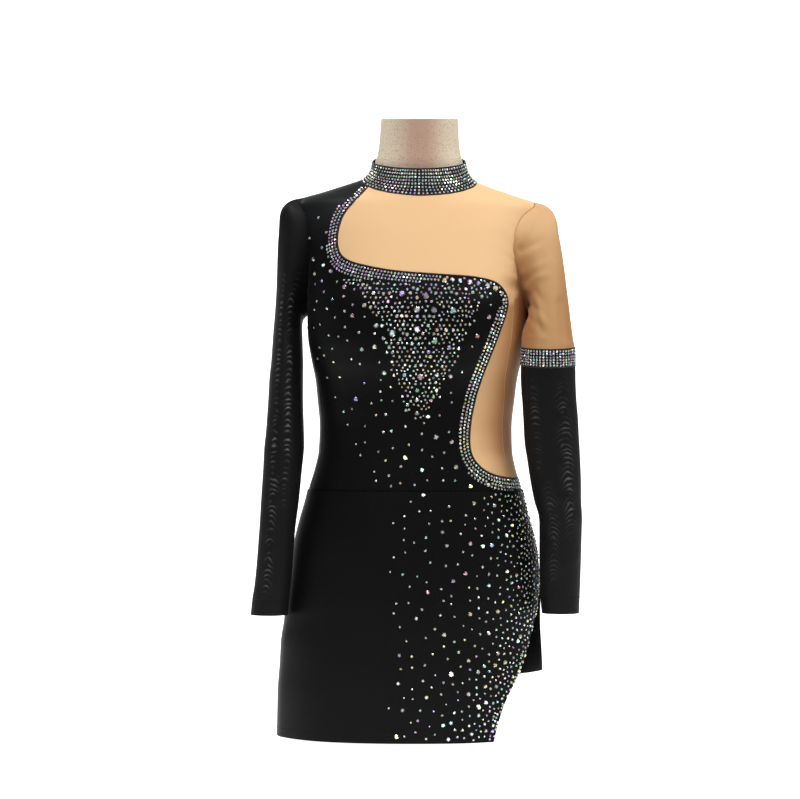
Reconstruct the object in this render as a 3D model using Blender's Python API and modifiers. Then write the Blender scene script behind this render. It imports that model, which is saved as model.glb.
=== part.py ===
"""Rhythmic gymnastics leotard with an asymmetric skirt, worn on a limbless dress form.

Metres, +Z up. The origin is at floor level under the neck, the form faces -Y,
and +X is the wearer's left. Every cloth panel is an outline drawn on a figure
surface, filled with triangles and thickened outwards.
"""
import math

import bpy
from mathutils import Vector
from mathutils.geometry import delaunay_2d_cdt

COLLECTION_NAME = "gymnastics_leotard_on_form"
CUTTER_COLLECTION_NAME = "cutters"

# Cloth walls and clearances
CLOTH_WALL = 0.0012
COLLAR_WALL = 0.0015
SLEEVE_WALL = 0.0011
CLOTH_EASE = 0.0015
BRIEF_EASE = 0.0006
COLLAR_EASE = 0.0004
SEAM_GAP = 0.0003
SLIT_GAP = 0.0006
NECK_GAP = 0.0004

# Levels on the figure
WAIST_SEAM_Z = 0.3120
NECK_TOP_Z = 0.7750
NECK_TOP_SLOPE = 0.109
CENTRE_AT_FLOOR = -0.0065
CENTRE_LEAN = 0.0125
TURN = 2.0 * math.pi
QUARTER = 0.5 * math.pi

# The dress form as level slices. front and back are distances from y = 0 and
# power is the squareness of the slice.
FIGURE_COLUMNS = ("height", "half_width", "front", "back", "power")
FIGURE = (
    (0.1500, 0.1180, 0.0040, 0.0060, 2.00),
    (0.1530, 0.1220, 0.0220, 0.0280, 2.00),
    (0.1600, 0.1285, 0.0420, 0.0500, 2.10),
    (0.1720, 0.1330, 0.0600, 0.0690, 2.20),
    (0.1900, 0.1385, 0.0770, 0.0870, 2.20),
    (0.2150, 0.1420, 0.0860, 0.0980, 2.20),
    (0.2450, 0.1415, 0.0885, 0.1000, 2.20),
    (0.2750, 0.1365, 0.0880, 0.0970, 2.20),
    (0.3120, 0.1300, 0.0865, 0.0900, 2.20),
    (0.3370, 0.1228, 0.0850, 0.0850, 2.20),
    (0.3620, 0.1180, 0.0830, 0.0810, 2.20),
    (0.3900, 0.1172, 0.0820, 0.0800, 2.20),
    (0.4240, 0.1203, 0.0830, 0.0820, 2.30),
    (0.4490, 0.1232, 0.0875, 0.0850, 2.30),
    (0.4740, 0.1285, 0.0950, 0.0880, 2.35),
    (0.5050, 0.1335, 0.1010, 0.0930, 2.35),
    (0.5350, 0.1345, 0.1010, 0.0980, 2.40),
    (0.5650, 0.1343, 0.0930, 0.1000, 2.40),
    (0.6000, 0.1352, 0.0810, 0.1000, 2.35),
    (0.6350, 0.1415, 0.0690, 0.0940, 2.20),
    (0.6550, 0.1480, 0.0620, 0.0850, 1.95),
    (0.6655, 0.1515, 0.0585, 0.0760, 1.80),
    (0.6712, 0.1415, 0.0565, 0.0700, 1.70),
    (0.6768, 0.1230, 0.0550, 0.0650, 1.65),
    (0.6830, 0.1040, 0.0540, 0.0610, 1.65),
    (0.6895, 0.0850, 0.0530, 0.0580, 1.75),
    (0.6955, 0.0695, 0.0520, 0.0560, 1.90),
    (0.7040, 0.0608, 0.0510, 0.0545, 2.00),
    (0.7120, 0.0572, 0.0505, 0.0535, 2.00),
    (0.7215, 0.0550, 0.0500, 0.0525, 2.00),
    (0.7300, 0.0522, 0.0490, 0.0515, 2.00),
    (0.7380, 0.0506, 0.0480, 0.0505, 2.00),
    (0.7500, 0.0495, 0.0475, 0.0500, 2.00),
    (0.7750, 0.0480, 0.0470, 0.0490, 2.00),
)

# The wearer's left shoulder sits lower: fall for each metre towards +X
TILT_COLUMNS = ("height", "tilt")
SHOULDER_TILT = (
    (0.5600, 0.000),
    (0.6500, 0.020),
    (0.6900, 0.020),
    (0.7080, 0.000),
)

# How far the form's cover lies inside the figure, more where the cloth bends sharply
INSET_COLUMNS = ("height", "inset")
FORM_INSET = (
    (0.1500, 0.0035),
    (0.1750, 0.0028),
    (0.2000, 0.0015),
    (0.6200, 0.0015),
    (0.6550, 0.0038),
    (0.6720, 0.0038),
    (0.6950, 0.0015),
    (0.7350, 0.0000),
)

# The skirt's outer face as level slices, with its own centre
SKIRT_COLUMNS = ("height", "half_width", "front", "back", "power", "centre")
SKIRT = (
    (0.0060, 0.1665, 0.1060, 0.1180, 2.20, -0.0085),
    (0.0615, 0.1655, 0.1040, 0.1160, 2.20, -0.0085),
    (0.0990, 0.1638, 0.1030, 0.1155, 2.20, -0.0075),
    (0.1240, 0.1625, 0.1020, 0.1150, 2.20, -0.0075),
    (0.1490, 0.1600, 0.1015, 0.1145, 2.20, -0.0062),
    (0.1740, 0.1590, 0.1010, 0.1140, 2.20, -0.0050),
    (0.2240, 0.1547, 0.0990, 0.1120, 2.20, -0.0028),
    (0.2490, 0.1502, 0.0975, 0.1095, 2.20, -0.0030),
    (0.2740, 0.1440, 0.0950, 0.1055, 2.20, -0.0031),
    (0.2995, 0.1370, 0.0930, 0.0985, 2.20, -0.0028),
    (0.3125, 0.1342, 0.0909, 0.0942, 2.20, -0.0026),
)

# Soft folds of the skirt. Columns: where on the round, half angle, height at the hem
SKIRT_FOLDS = (
    (-74.0, 9.0, 0.0022),
    (-38.0, 14.0, 0.0012),
    (22.0, 12.0, 0.0014),
    (128.0, 13.0, 0.0030),
    (161.0, 11.0, 0.0024),
    (203.0, 14.0, 0.0034),
    (236.0, 10.0, 0.0026),
)
FOLD_TOP_Z = 0.270

# The S-shaped design line from the collar to the side. Columns: x, height
DESIGN_LINE = (
    (-0.0560, 0.6870),
    (-0.0720, 0.6690),
    (-0.0880, 0.6500),
    (-0.0955, 0.6270),
    (-0.0945, 0.6060),
    (-0.0840, 0.5935),
    (-0.0560, 0.5852),
    (-0.0200, 0.5795),
    (0.0360, 0.5756),
    (0.0720, 0.5730),
    (0.0968, 0.5660),
    (0.1092, 0.5484),
    (0.1066, 0.5262),
    (0.0928, 0.4880),
    (0.0800, 0.4550),
    (0.0700, 0.4220),
    (0.0640, 0.3860),
    (0.0658, 0.3578),
    (0.0784, 0.3402),
    (0.0970, 0.3306),
    (0.1180, 0.3266),
)

# The seam between front and back on each side, as an angle from the front
SIDE_SEAM_COLUMNS = ("height", "left_angle", "right_angle")
SIDE_SEAM = (
    (0.3120, 71.0, 80.0),
    (0.3400, 67.0, 77.0),
    (0.3620, 63.0, 75.0),
    (0.4240, 60.0, 74.0),
    (0.4860, 56.0, 76.0),
    (0.5480, 56.5, 86.0),
    (0.5740, 60.0, 90.0),
)

# Collar edges: height at the side, drop to the front, rise to the back, and how
# fast the edge leaves its side height
COLLAR_BOTTOM = (0.6945, 0.0205, 0.0130, 2.3)
COLLAR_TOP = (0.7215, 0.0135, 0.0135, 1.0)

# The back line of the design crosses the centre-back opening under this height
BACK_CROSSING_Z = 0.600

# Armholes as leaning ovals seen from the side: y at the top and at the bottom,
# centre z, half depth, half height
ARMHOLE_LEFT = (0.000, -0.005, 0.601, 0.046, 0.070)
ARMHOLE_RIGHT = (0.002, 0.022, 0.601, 0.037, 0.070)

# Sleeves below the head, each row one level ring of the outer face
SLEEVE_COLUMNS = ("height", "centre_x", "centre_y", "half_width", "half_depth")
SLEEVE_LEFT = (
    (0.4980, 0.1600, -0.0530, 0.0316, 0.0310),
    (0.4885, 0.1607, -0.0525, 0.0328, 0.0315),
    (0.4665, 0.1609, -0.0515, 0.0336, 0.0318),
    (0.4485, 0.1611, -0.0500, 0.0338, 0.0320),
    (0.4240, 0.1625, -0.0490, 0.0335, 0.0320),
    (0.3990, 0.1643, -0.0490, 0.0338, 0.0315),
    (0.3750, 0.1655, -0.0485, 0.0338, 0.0310),
    (0.3500, 0.1680, -0.0480, 0.0327, 0.0300),
    (0.3250, 0.1704, -0.0480, 0.0313, 0.0290),
    (0.3000, 0.1729, -0.0475, 0.0290, 0.0275),
    (0.2760, 0.1766, -0.0470, 0.0265, 0.0260),
    (0.2270, 0.1761, -0.0460, 0.0257, 0.0240),
    (0.1800, 0.1759, -0.0450, 0.0243, 0.0225),
    (0.1610, 0.1765, -0.0450, 0.0230, 0.0220),
)
SLEEVE_RIGHT = (
    (0.5115, -0.1619, 0.0120, 0.0181, 0.0430),
    (0.4740, -0.1621, -0.0010, 0.0199, 0.0410),
    (0.4490, -0.1631, -0.0080, 0.0211, 0.0390),
    (0.4240, -0.1635, -0.0150, 0.0217, 0.0370),
    (0.3870, -0.1639, -0.0230, 0.0235, 0.0340),
    (0.3620, -0.1649, -0.0280, 0.0248, 0.0320),
    (0.3370, -0.1666, -0.0330, 0.0241, 0.0300),
    (0.3005, -0.1694, -0.0380, 0.0235, 0.0270),
    (0.2600, -0.1730, -0.0420, 0.0222, 0.0245),
    (0.2270, -0.1754, -0.0440, 0.0222, 0.0230),
    (0.1960, -0.1781, -0.0450, 0.0225, 0.0225),
    (0.1775, -0.1806, -0.0450, 0.0229, 0.0225),
    (0.1590, -0.1822, -0.0450, 0.0232, 0.0225),
)
BAND_TOP_Z = 0.4885
BAND_BOTTOM_Z = 0.4665
BAND_TILT = 0.12

# How a sleeve head turns over the shoulder: inward lean of its side, share of the
# height that this side stands straight, and how far the top reaches out
HEAD_LEFT = (0.016, 0.71, 0.034)
HEAD_RIGHT = (0.010, 0.60, 0.037)
HEAD_LOW_REACH = 0.011
HEAD_FORWARD = 0.45
HEAD_LEAN = 0.8

# Skirt edges
HEM_Z = 0.0075
SLIT_TOP_Z = 0.2050
SLIT_JOIN_Z = 0.2350
SKIRT_SIDE_ANGLE = 88.0
FREE_EDGE_COLUMNS = ("height", "x")
FRONT_FREE_EDGE = (
    (0.0075, 0.0925),
    (0.0300, 0.0985),
    (0.0530, 0.1065),
    (0.0890, 0.1247),
    (0.1150, 0.1345),
    (0.1450, 0.1430),
    (0.1750, 0.1500),
    (0.2050, 0.1515),
)
BACK_HEM_HIGH_Z = 0.0865
BACK_HEM_POWER = 0.8

# Leg openings of the form and the brief
CROTCH_HALF_WIDTH = 0.030
LEG_CUT_HALF_WIDTH = 0.142
LEG_CUT_LOW_Z = 0.150
LEG_CUT_HIGH_Z = 0.235
LEG_CUT_SLOPE = (LEG_CUT_HIGH_Z - LEG_CUT_LOW_Z) / (LEG_CUT_HALF_WIDTH - CROTCH_HALF_WIDTH)
LEG_CUTTER_SIZE = 0.4
BRIEF_MARGIN = 0.004
BRIEF_BOTTOM_Z = 0.1506

# Stand
BASE_RADIUS = 0.075
BASE_HEIGHT = 0.008
BASE_CENTRE = (-0.005, 0.030)
ROD_RADIUS = 0.007
ROD_X = 0.058
ROD_Y = 0.010

# Fineness of the meshes, and the metres that one radian round the figure stands for
WIDTH_SCALE = 0.115
PANEL_STEP = 0.021
BRIEF_STEP = 0.019
LINE_STEP = 0.011
SKIRT_STEP = 0.025
SKIRT_WIDTH_SCALE = 0.135
COLLAR_STEP = 0.0105
COLLAR_WIDTH_SCALE = 0.06
COLLAR_SIDES = 32
SLEEVE_SIDES = 20
SLEEVE_RING_STEP = 0.030
BAND_RING_STEP = 0.012
HEAD_RINGS = 6
ARMHOLE_STEP = 0.16
NECK_STEP = 0.20
WAIST_STEP = 0.17
FORM_SIDES = 32
FORM_RING_STEP = 0.024


def slopes_of(xs, ys):
    """Slopes that keep a curve through the points free of overshoot."""
    steps = [(ys[i + 1] - ys[i]) / (xs[i + 1] - xs[i]) for i in range(len(xs) - 1)]
    slopes = [steps[0]]
    for before, after in zip(steps, steps[1:]):
        same_way = before * after > 0.0
        slopes.append(2.0 * before * after / (before + after) if same_way else 0.0)
    return slopes + [steps[-1]]


def make_curve(xs, ys):
    """A smooth function through the points, held level past both ends."""
    slopes = slopes_of(xs, ys)

    def curve(x):
        if x <= xs[0]:
            return ys[0]
        if x >= xs[-1]:
            return ys[-1]
        i = max(k for k in range(len(xs) - 1) if xs[k] <= x)
        span = xs[i + 1] - xs[i]
        s = (x - xs[i]) / span
        rise = ys[i] * (1 + 2 * s) * (1 - s) ** 2 + ys[i + 1] * s * s * (3 - 2 * s)
        return rise + span * (slopes[i] * s * (1 - s) ** 2 + slopes[i + 1] * s * s * (s - 1))

    return curve


def table_curves(rows, columns, keys=None):
    """One smooth curve for each column against the keys, or the first column."""
    keys = keys or [row[0] for row in rows]
    return {name: make_curve(keys, [row[i] for row in rows]) for i, name in enumerate(columns)}


def path_lengths(rows):
    """Length along the side outline at each row, from half width and height."""
    lengths = [0.0]
    for low, high in zip(rows, rows[1:]):
        lengths.append(lengths[-1] + math.hypot(high[0] - low[0], high[1] - low[1]))
    return lengths


FIGURE_LENGTHS = path_lengths(FIGURE)
FIGURE_CURVES = table_curves(FIGURE, FIGURE_COLUMNS, FIGURE_LENGTHS)
TILT_CURVES = table_curves(SHOULDER_TILT, TILT_COLUMNS)
SKIRT_CURVES = table_curves(SKIRT, SKIRT_COLUMNS)
SIDE_SEAM_CURVES = table_curves(SIDE_SEAM, SIDE_SEAM_COLUMNS)
FREE_EDGE_CURVES = table_curves(FRONT_FREE_EDGE, FREE_EDGE_COLUMNS)


def signed_power(value, power):
    """Power of a number that keeps its sign."""
    return math.copysign(abs(value) ** power, value)


def slice_point(angle, half_width, front, back, power, centre, height):
    """Point of a level slice at an angle from the front towards +X."""
    x = centre + half_width * signed_power(math.sin(angle), 2.0 / power)
    depth = front if math.cos(angle) > 0.0 else back
    y = -depth * signed_power(math.cos(angle), 2.0 / power)
    return Vector((x, y, height))


def figure_centre(height):
    """The figure leans a little to its left on the way up."""
    return CENTRE_AT_FLOOR + CENTRE_LEAN * height


def figure_point(angle, level):
    """Point of the dress form. level is the length along its side outline."""
    height = FIGURE_CURVES["height"](level)
    shape = [FIGURE_CURVES[name](level) for name in FIGURE_COLUMNS[1:]]
    point = slice_point(angle, *shape, figure_centre(height), height)
    point.z -= TILT_CURVES["tilt"](height) * point.x
    return point


def skirt_point(angle, height):
    """Point of the skirt's outer face, with its soft folds."""
    shape = [SKIRT_CURVES[name](height) for name in SKIRT_COLUMNS[1:5]]
    point = slice_point(angle, *shape, SKIRT_CURVES["centre"](height), height)
    low = max(0.0, (FOLD_TOP_Z - height) / (FOLD_TOP_Z - HEM_Z))
    turned = math.degrees(angle)
    swell = sum(rise * math.exp(-(((turned - where + 180) % 360 - 180) / spread) ** 2)
                for where, spread, rise in SKIRT_FOLDS)
    return point + Vector((math.sin(angle), -math.cos(angle), 0.0)) * swell * low ** 1.5


def tangents(surface, angle, level):
    """The surface's two directions at a place: round it and up it."""
    turn, rise = 0.02, 0.001
    along = (surface(angle + turn, level) - surface(angle - turn, level)) / (2 * turn)
    up = (surface(angle, level + rise) - surface(angle, level - rise)) / (2 * rise)
    return along, up


def offset_point(surface, place, offset):
    """Point of a surface moved outwards along its normal."""
    along, up = tangents(surface, *place)
    return surface(*place) + along.cross(up).normalized() * offset


def level_of(height):
    """Level on the figure for a height, by halving."""
    low, high = 0.0, FIGURE_LENGTHS[-1]
    for _ in range(40):
        middle = 0.5 * (low + high)
        if FIGURE_CURVES["height"](middle) < height:
            low = middle
        else:
            high = middle
    return 0.5 * (low + high)


def place_at_x(x, height, back=False):
    """Place on the figure's front or back with a given x and height."""
    level = level_of(height)
    half_width = FIGURE_CURVES["half_width"](level)
    share = (x - figure_centre(height)) / half_width
    share = max(-1.0, min(1.0, share))
    angle = math.asin(signed_power(share, FIGURE_CURVES["power"](level) / 2.0))
    return (math.pi - angle if back else angle, level)


def place_at_y(y, height, side):
    """Place on the figure's left (+1) or right (-1) side with a given y and height."""
    level = level_of(height)
    depth = FIGURE_CURVES["front" if y < 0.0 else "back"](level)
    share = max(-1.0, min(1.0, -y / depth))
    angle = math.acos(signed_power(share, FIGURE_CURVES["power"](level) / 2.0))
    return (side * angle, level)


def collar_height(edge, angle):
    """Height of a collar edge round the neck."""
    side, drop, rise, sharpness = edge
    share = signed_power(math.cos(angle), sharpness)
    return side - 0.5 * (drop + rise) * share - 0.5 * (drop - rise) * abs(share)


def neck_place(angle):
    """Place on the bodice's neck edge, just below the collar."""
    return (angle, level_of(collar_height(COLLAR_BOTTOM, angle)) - NECK_GAP)


def armhole_place(armhole, side, turn):
    """Place on an armhole. turn runs from the top over the front to the bottom."""
    top_y, bottom_y, centre_z, half_depth, half_height = armhole
    share = 0.5 * (1.0 + math.cos(turn))
    y = bottom_y + (top_y - bottom_y) * share - half_depth * math.sin(turn)
    return place_at_y(y, centre_z + half_height * math.cos(turn), side)


def straight(start, end, count):
    """Places in a straight row, without the last one."""
    return [tuple(a + (b - a) * i / count for a, b in zip(start, end)) for i in range(count)]


def resample(points, step):
    """Even points along a polyline of places, both ends kept."""
    ends = [Vector(point) for point in points]
    lengths = [0.0]
    for low, high in zip(ends, ends[1:]):
        lengths.append(lengths[-1] + math.hypot((high[0] - low[0]) * WIDTH_SCALE, high[1] - low[1]))
    count = max(1, round(lengths[-1] / step))
    evenly = []
    for i in range(count + 1):
        target = lengths[-1] * i / count
        k = max(n for n in range(len(ends)) if lengths[n] <= target + 1e-12)
        if k >= len(ends) - 1:
            evenly.append(tuple(ends[-1]))
            continue
        share = (target - lengths[k]) / (lengths[k + 1] - lengths[k])
        evenly.append(tuple(ends[k].lerp(ends[k + 1], share)))
    return evenly


def smooth_line(points, count):
    """Rounded line that runs through all its points, with both ends kept."""
    padded = [points[0]] + list(points) + [points[-1]]
    line = []
    for i in range(1, len(padded) - 2):
        p0, p1, p2, p3 = (Vector(padded[k]) for k in range(i - 1, i + 3))
        for step in range(count):
            s = step / count
            line.append(tuple(0.5 * (2 * p1 + (p2 - p0) * s + (2 * p0 - 5 * p1 + 4 * p2 - p3) * s * s
                                     + (3 * p1 - p0 - 3 * p2 + p3) * s ** 3)))
    return line + [tuple(points[-1])]


def design_places(back=False):
    """The design line as places on the figure's front or back."""
    line = smooth_line(DESIGN_LINE, 4)
    places = [place_at_x(x, height, back) for x, height in line]
    return [neck_place(places[0][0])] + places[1:]


def seam_angle(height, side):
    """Angle of the side seam from the front, in radians."""
    return math.radians(SIDE_SEAM_CURVES["left_angle" if side > 0 else "right_angle"](height))


def side_seam_place(height, side, back=False):
    """Place on the side seam. The back panel counts its angles on through 180."""
    angle = seam_angle(height, side)
    if side < 0:
        angle = TURN - angle if back else -angle
    return (angle, level_of(height))


def join_lines(*lines):
    """One closed outline from lines whose ends meet."""
    outline = []
    for line in lines:
        outline.extend(line[:-1])
    return outline


def cut_at_seam(line, side):
    """The part of a design line before the side seam, ended on the seam."""
    kept = []
    for place in line:
        height = FIGURE_CURVES["height"](place[1])
        limit = seam_angle(height, side)
        if place[0] >= limit:
            kept.append((limit, place[1]))
            break
        kept.append(place)
    return kept


def seam_turn(armhole, side):
    """Turn on the armhole's front edge where the side seam meets it."""
    best = None
    for i in range(400):
        turn = math.pi * (0.25 + 0.72 * i / 399)
        angle, level = armhole_place(armhole, side, turn)
        height = FIGURE_CURVES["height"](level)
        miss = abs(abs(angle) - seam_angle(height, side))
        if best is None or miss < best[0]:
            best = (miss, turn)
    return best[1]


def armhole_line(armhole, side, start_turn, end_turn, unwrap=False):
    """Places along an armhole between two turns."""
    count = max(2, round(abs(end_turn - start_turn) / ARMHOLE_STEP))
    places = []
    for i in range(count + 1):
        turn = start_turn + (end_turn - start_turn) * i / count
        angle, level = armhole_place(armhole, side, turn)
        places.append((angle % TURN if unwrap else angle, level))
    return places


def neck_line(start_angle, end_angle):
    """Places along the collar's lower edge."""
    count = max(2, round(abs(end_angle - start_angle) / NECK_STEP))
    return [neck_place(start_angle + (end_angle - start_angle) * i / count)
            for i in range(count + 1)]


def waist_line(start_angle, end_angle):
    """Places along the waist seam."""
    count = max(2, round(abs(end_angle - start_angle) / WAIST_STEP))
    level = level_of(WAIST_SEAM_Z)
    return straight((start_angle, level), (end_angle, level), count) + [(end_angle, level)]


def seam_line(side, low_height, high_height, back=False):
    """Places up a side seam."""
    count = max(2, round((high_height - low_height) / PANEL_STEP))
    return [side_seam_place(low_height + (high_height - low_height) * i / count, side, back)
            for i in range(count + 1)]


def shoulder_line(armhole, side, back=False):
    """Places from the top of an armhole to the collar."""
    angle, level = armhole_place(armhole, side, 0.0)
    neck_angle = side * QUARTER
    if back and side < 0:
        angle, neck_angle = angle % TURN, neck_angle % TURN
    end = neck_place(neck_angle)
    return straight((angle, level), end, 5) + [end]


def inset(surface, outline, distance):
    """Outline of places moved inwards by a real distance on the surface."""
    moved = []
    count = len(outline)
    for i, place in enumerate(outline):
        along, up = tangents(surface, *place)
        normal = along.cross(up).normalized()
        sides = []
        for a, b in ((outline[i - 1], place), (place, outline[(i + 1) % count])):
            run = along * (b[0] - a[0]) + up * (b[1] - a[1])
            sides.append(normal.cross(run).normalized())
        inward = (sides[0] + sides[1]) / max(0.35, 1.0 + sides[0].dot(sides[1])) * distance
        aa, uu, au = along.dot(along), up.dot(up), along.dot(up)
        ia, iu = inward.dot(along), inward.dot(up)
        whole = aa * uu - au * au
        moved.append((place[0] + (ia * uu - iu * au) / whole, place[1] + (iu * aa - ia * au) / whole))
    return moved


def inside(outline, point):
    """Whether a flat point lies inside a closed outline."""
    odd = False
    for (ax, ay), (bx, by) in zip(outline, outline[1:] + outline[:1]):
        if (ay > point[1]) != (by > point[1]):
            if point[0] < ax + (bx - ax) * (point[1] - ay) / (by - ay):
                odd = not odd
    return odd


def edge_distance(outline, point):
    """Distance from a flat point to the nearest side of an outline."""
    nearest = math.inf
    for a, b in zip(outline, outline[1:] + outline[:1]):
        run = Vector(b) - Vector(a)
        share = (Vector(point) - Vector(a)).dot(run) / max(run.length_squared, 1e-18)
        foot = Vector(a) + run * max(0.0, min(1.0, share))
        nearest = min(nearest, (Vector(point) - foot).length)
    return nearest


def filled(outline, width_scale, step):
    """Triangles that fill an outline of places, with a staggered grid inside."""
    flat = [(angle * width_scale, level) for angle, level in outline]
    low = [min(point[k] for point in flat) for k in (0, 1)]
    high = [max(point[k] for point in flat) for k in (0, 1)]
    row_step = step * math.sqrt(0.75)
    points = [Vector(point) for point in flat]
    for row in range(1, int((high[1] - low[1]) / row_step) + 1):
        for column in range(int((high[0] - low[0]) / step) + 2):
            point = (low[0] + step * (column + 0.5 * (row % 2)), low[1] + row_step * row)
            if inside(flat, point) and edge_distance(flat, point) > 0.5 * step:
                points.append(Vector(point))
    ring = list(range(len(flat)))
    edges = [(i, (i + 1) % len(flat)) for i in ring]
    verts, _, faces, *_ = delaunay_2d_cdt(points, edges, [ring], 1, 1e-9)
    return [(vert[0] / width_scale, vert[1]) for vert in verts], faces


def material(name, color, roughness, metallic=0.0):
    """Plain Principled material."""
    made = bpy.data.materials.new(name)
    made.use_nodes = True
    shader = made.node_tree.nodes["Principled BSDF"]
    shader.inputs["Base Color"].default_value = (*color, 1.0)
    shader.inputs["Roughness"].default_value = roughness
    shader.inputs["Metallic"].default_value = metallic
    return made


def add_mesh(name, verts, faces, finish, collection):
    """New smooth-shaded object from points and faces."""
    mesh = bpy.data.meshes.new(name)
    mesh.from_pydata([tuple(vert) for vert in verts], [], faces)
    mesh.materials.append(finish)
    mesh.shade_smooth()
    thing = bpy.data.objects.new(name, mesh)
    collection.objects.link(thing)
    return thing


def thicken(thing, wall, outward=1.0):
    """Solidify a sheet, outwards for 1 and inwards for -1."""
    modifier = thing.modifiers.new("wall", "SOLIDIFY")
    modifier.thickness = wall
    modifier.offset = outward
    return thing


def panel(name, surface, outline, offset, wall, finish, collection, step=PANEL_STEP,
          width_scale=WIDTH_SCALE, gap=SEAM_GAP):
    """One cloth panel on a surface, with half a seam gap round it."""
    trimmed = inset(surface, outline, 0.5 * gap)
    places, faces = filled(trimmed, width_scale, step)
    verts = [offset_point(surface, place, offset) for place in places]
    return thicken(add_mesh(name, verts, faces, finish, collection), wall)


def back_design():
    """The back's design line in two parts, right and left of the centre-back opening."""
    line = design_places(back=True)[:-1]
    line.append(side_seam_place(DESIGN_LINE[-1][1], 1))
    low = [i for i, place in enumerate(line) if FIGURE_CURVES["height"](place[1]) < BACK_CROSSING_Z]
    crossing = min(low, key=lambda i: abs(line[i][0] - math.pi))
    line[crossing] = (math.pi, line[crossing][1])
    return resample(line[:crossing + 1], LINE_STEP), resample(line[crossing:], LINE_STEP)


def bodice(collection, black, nude):
    """Front and back of the leotard's upper part, black and nude, along the design line."""
    front_line = cut_at_seam(design_places(), 1)
    left_turn = seam_turn(ARMHOLE_LEFT, 1)
    right_turn = seam_turn(ARMHOLE_RIGHT, -1)
    left_seam_top = FIGURE_CURVES["height"](armhole_place(ARMHOLE_LEFT, 1, left_turn)[1])
    right_seam_top = FIGURE_CURVES["height"](armhole_place(ARMHOLE_RIGHT, -1, right_turn)[1])
    meet_height = FIGURE_CURVES["height"](front_line[-1][1])
    line = resample(front_line, LINE_STEP)
    left_angle = seam_angle(WAIST_SEAM_Z, 1)
    right_angle = seam_angle(WAIST_SEAM_Z, -1)

    black_front = join_lines(
        waist_line(-right_angle, left_angle),
        seam_line(1, WAIST_SEAM_Z, meet_height),
        line[::-1],
        neck_line(line[0][0], -QUARTER),
        shoulder_line(ARMHOLE_RIGHT, -1)[::-1],
        armhole_line(ARMHOLE_RIGHT, -1, 0.0, right_turn),
        seam_line(-1, WAIST_SEAM_Z, right_seam_top)[::-1],
    )
    nude_front = join_lines(
        line,
        seam_line(1, meet_height, left_seam_top),
        armhole_line(ARMHOLE_LEFT, 1, left_turn, 0.0),
        shoulder_line(ARMHOLE_LEFT, 1),
        neck_line(QUARTER, line[0][0]),
    )

    right_part, left_part = back_design()
    end_height = DESIGN_LINE[-1][1]
    slit = resample([neck_place(math.pi), left_part[0]], PANEL_STEP)

    black_back = join_lines(
        waist_line(left_angle, TURN - right_angle),
        seam_line(-1, WAIST_SEAM_Z, right_seam_top, back=True),
        armhole_line(ARMHOLE_RIGHT, -1, right_turn, TURN, unwrap=True),
        shoulder_line(ARMHOLE_RIGHT, -1, back=True),
        neck_line(TURN - QUARTER, right_part[0][0]),
        right_part,
        left_part,
        seam_line(1, WAIST_SEAM_Z, end_height)[::-1],
    )
    nude_back_right = join_lines(
        neck_line(right_part[0][0], math.pi),
        slit,
        right_part[::-1],
    )
    nude_back_left = join_lines(
        slit[::-1],
        neck_line(math.pi, QUARTER),
        shoulder_line(ARMHOLE_LEFT, 1)[::-1],
        armhole_line(ARMHOLE_LEFT, 1, TURN, left_turn),
        seam_line(1, end_height, left_seam_top)[::-1],
        left_part[::-1],
    )
    for name, outline, finish in (
            ("bodice_front_black", black_front, black),
            ("bodice_front_nude", nude_front, nude),
            ("bodice_back_black", black_back, black),
            ("bodice_back_nude_right", nude_back_right, nude),
            ("bodice_back_nude_left", nude_back_left, nude)):
        panel(name, figure_point, outline, CLOTH_EASE, CLOTH_WALL, finish, collection)


def collar(collection, finish):
    """Stand-up band, open down the centre back where hooks close it."""
    angles = [-math.pi + TURN * i / COLLAR_SIDES for i in range(COLLAR_SIDES + 1)]
    low = [(angle, level_of(collar_height(COLLAR_BOTTOM, angle))) for angle in angles]
    high = [(angle, level_of(collar_height(COLLAR_TOP, angle))) for angle in angles]
    panel("collar", figure_point, low + high[::-1], COLLAR_EASE, COLLAR_WALL, finish, collection,
          step=COLLAR_STEP, width_scale=COLLAR_WIDTH_SCALE, gap=SLIT_GAP)


def bezier(p0, p1, p2, p3, s):
    """Point of a curve from p0 to p3 that p1 and p2 pull at."""
    r = 1.0 - s
    return p0 * r ** 3 + p1 * (3 * r * r * s) + p2 * (3 * r * s * s) + p3 * s ** 3


def sleeve_ring(rows, height, lift=0.0):
    """Outer ring of a sleeve below its head. turn 0 is outward and a quarter is front."""
    curves = table_curves(rows[::-1], SLEEVE_COLUMNS)
    side = math.copysign(1.0, rows[0][1])
    ring = []
    for i in range(SLEEVE_SIDES):
        turn = TURN * i / SLEEVE_SIDES
        x = curves["centre_x"](height) + side * curves["half_width"](height) * math.cos(turn)
        depth = -curves["half_depth"](height) * math.sin(turn)
        tilt = BAND_TILT if lift else 0.0
        ring.append(Vector((x, curves["centre_y"](height) + depth, height + tilt * depth)))
    return ring


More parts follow.
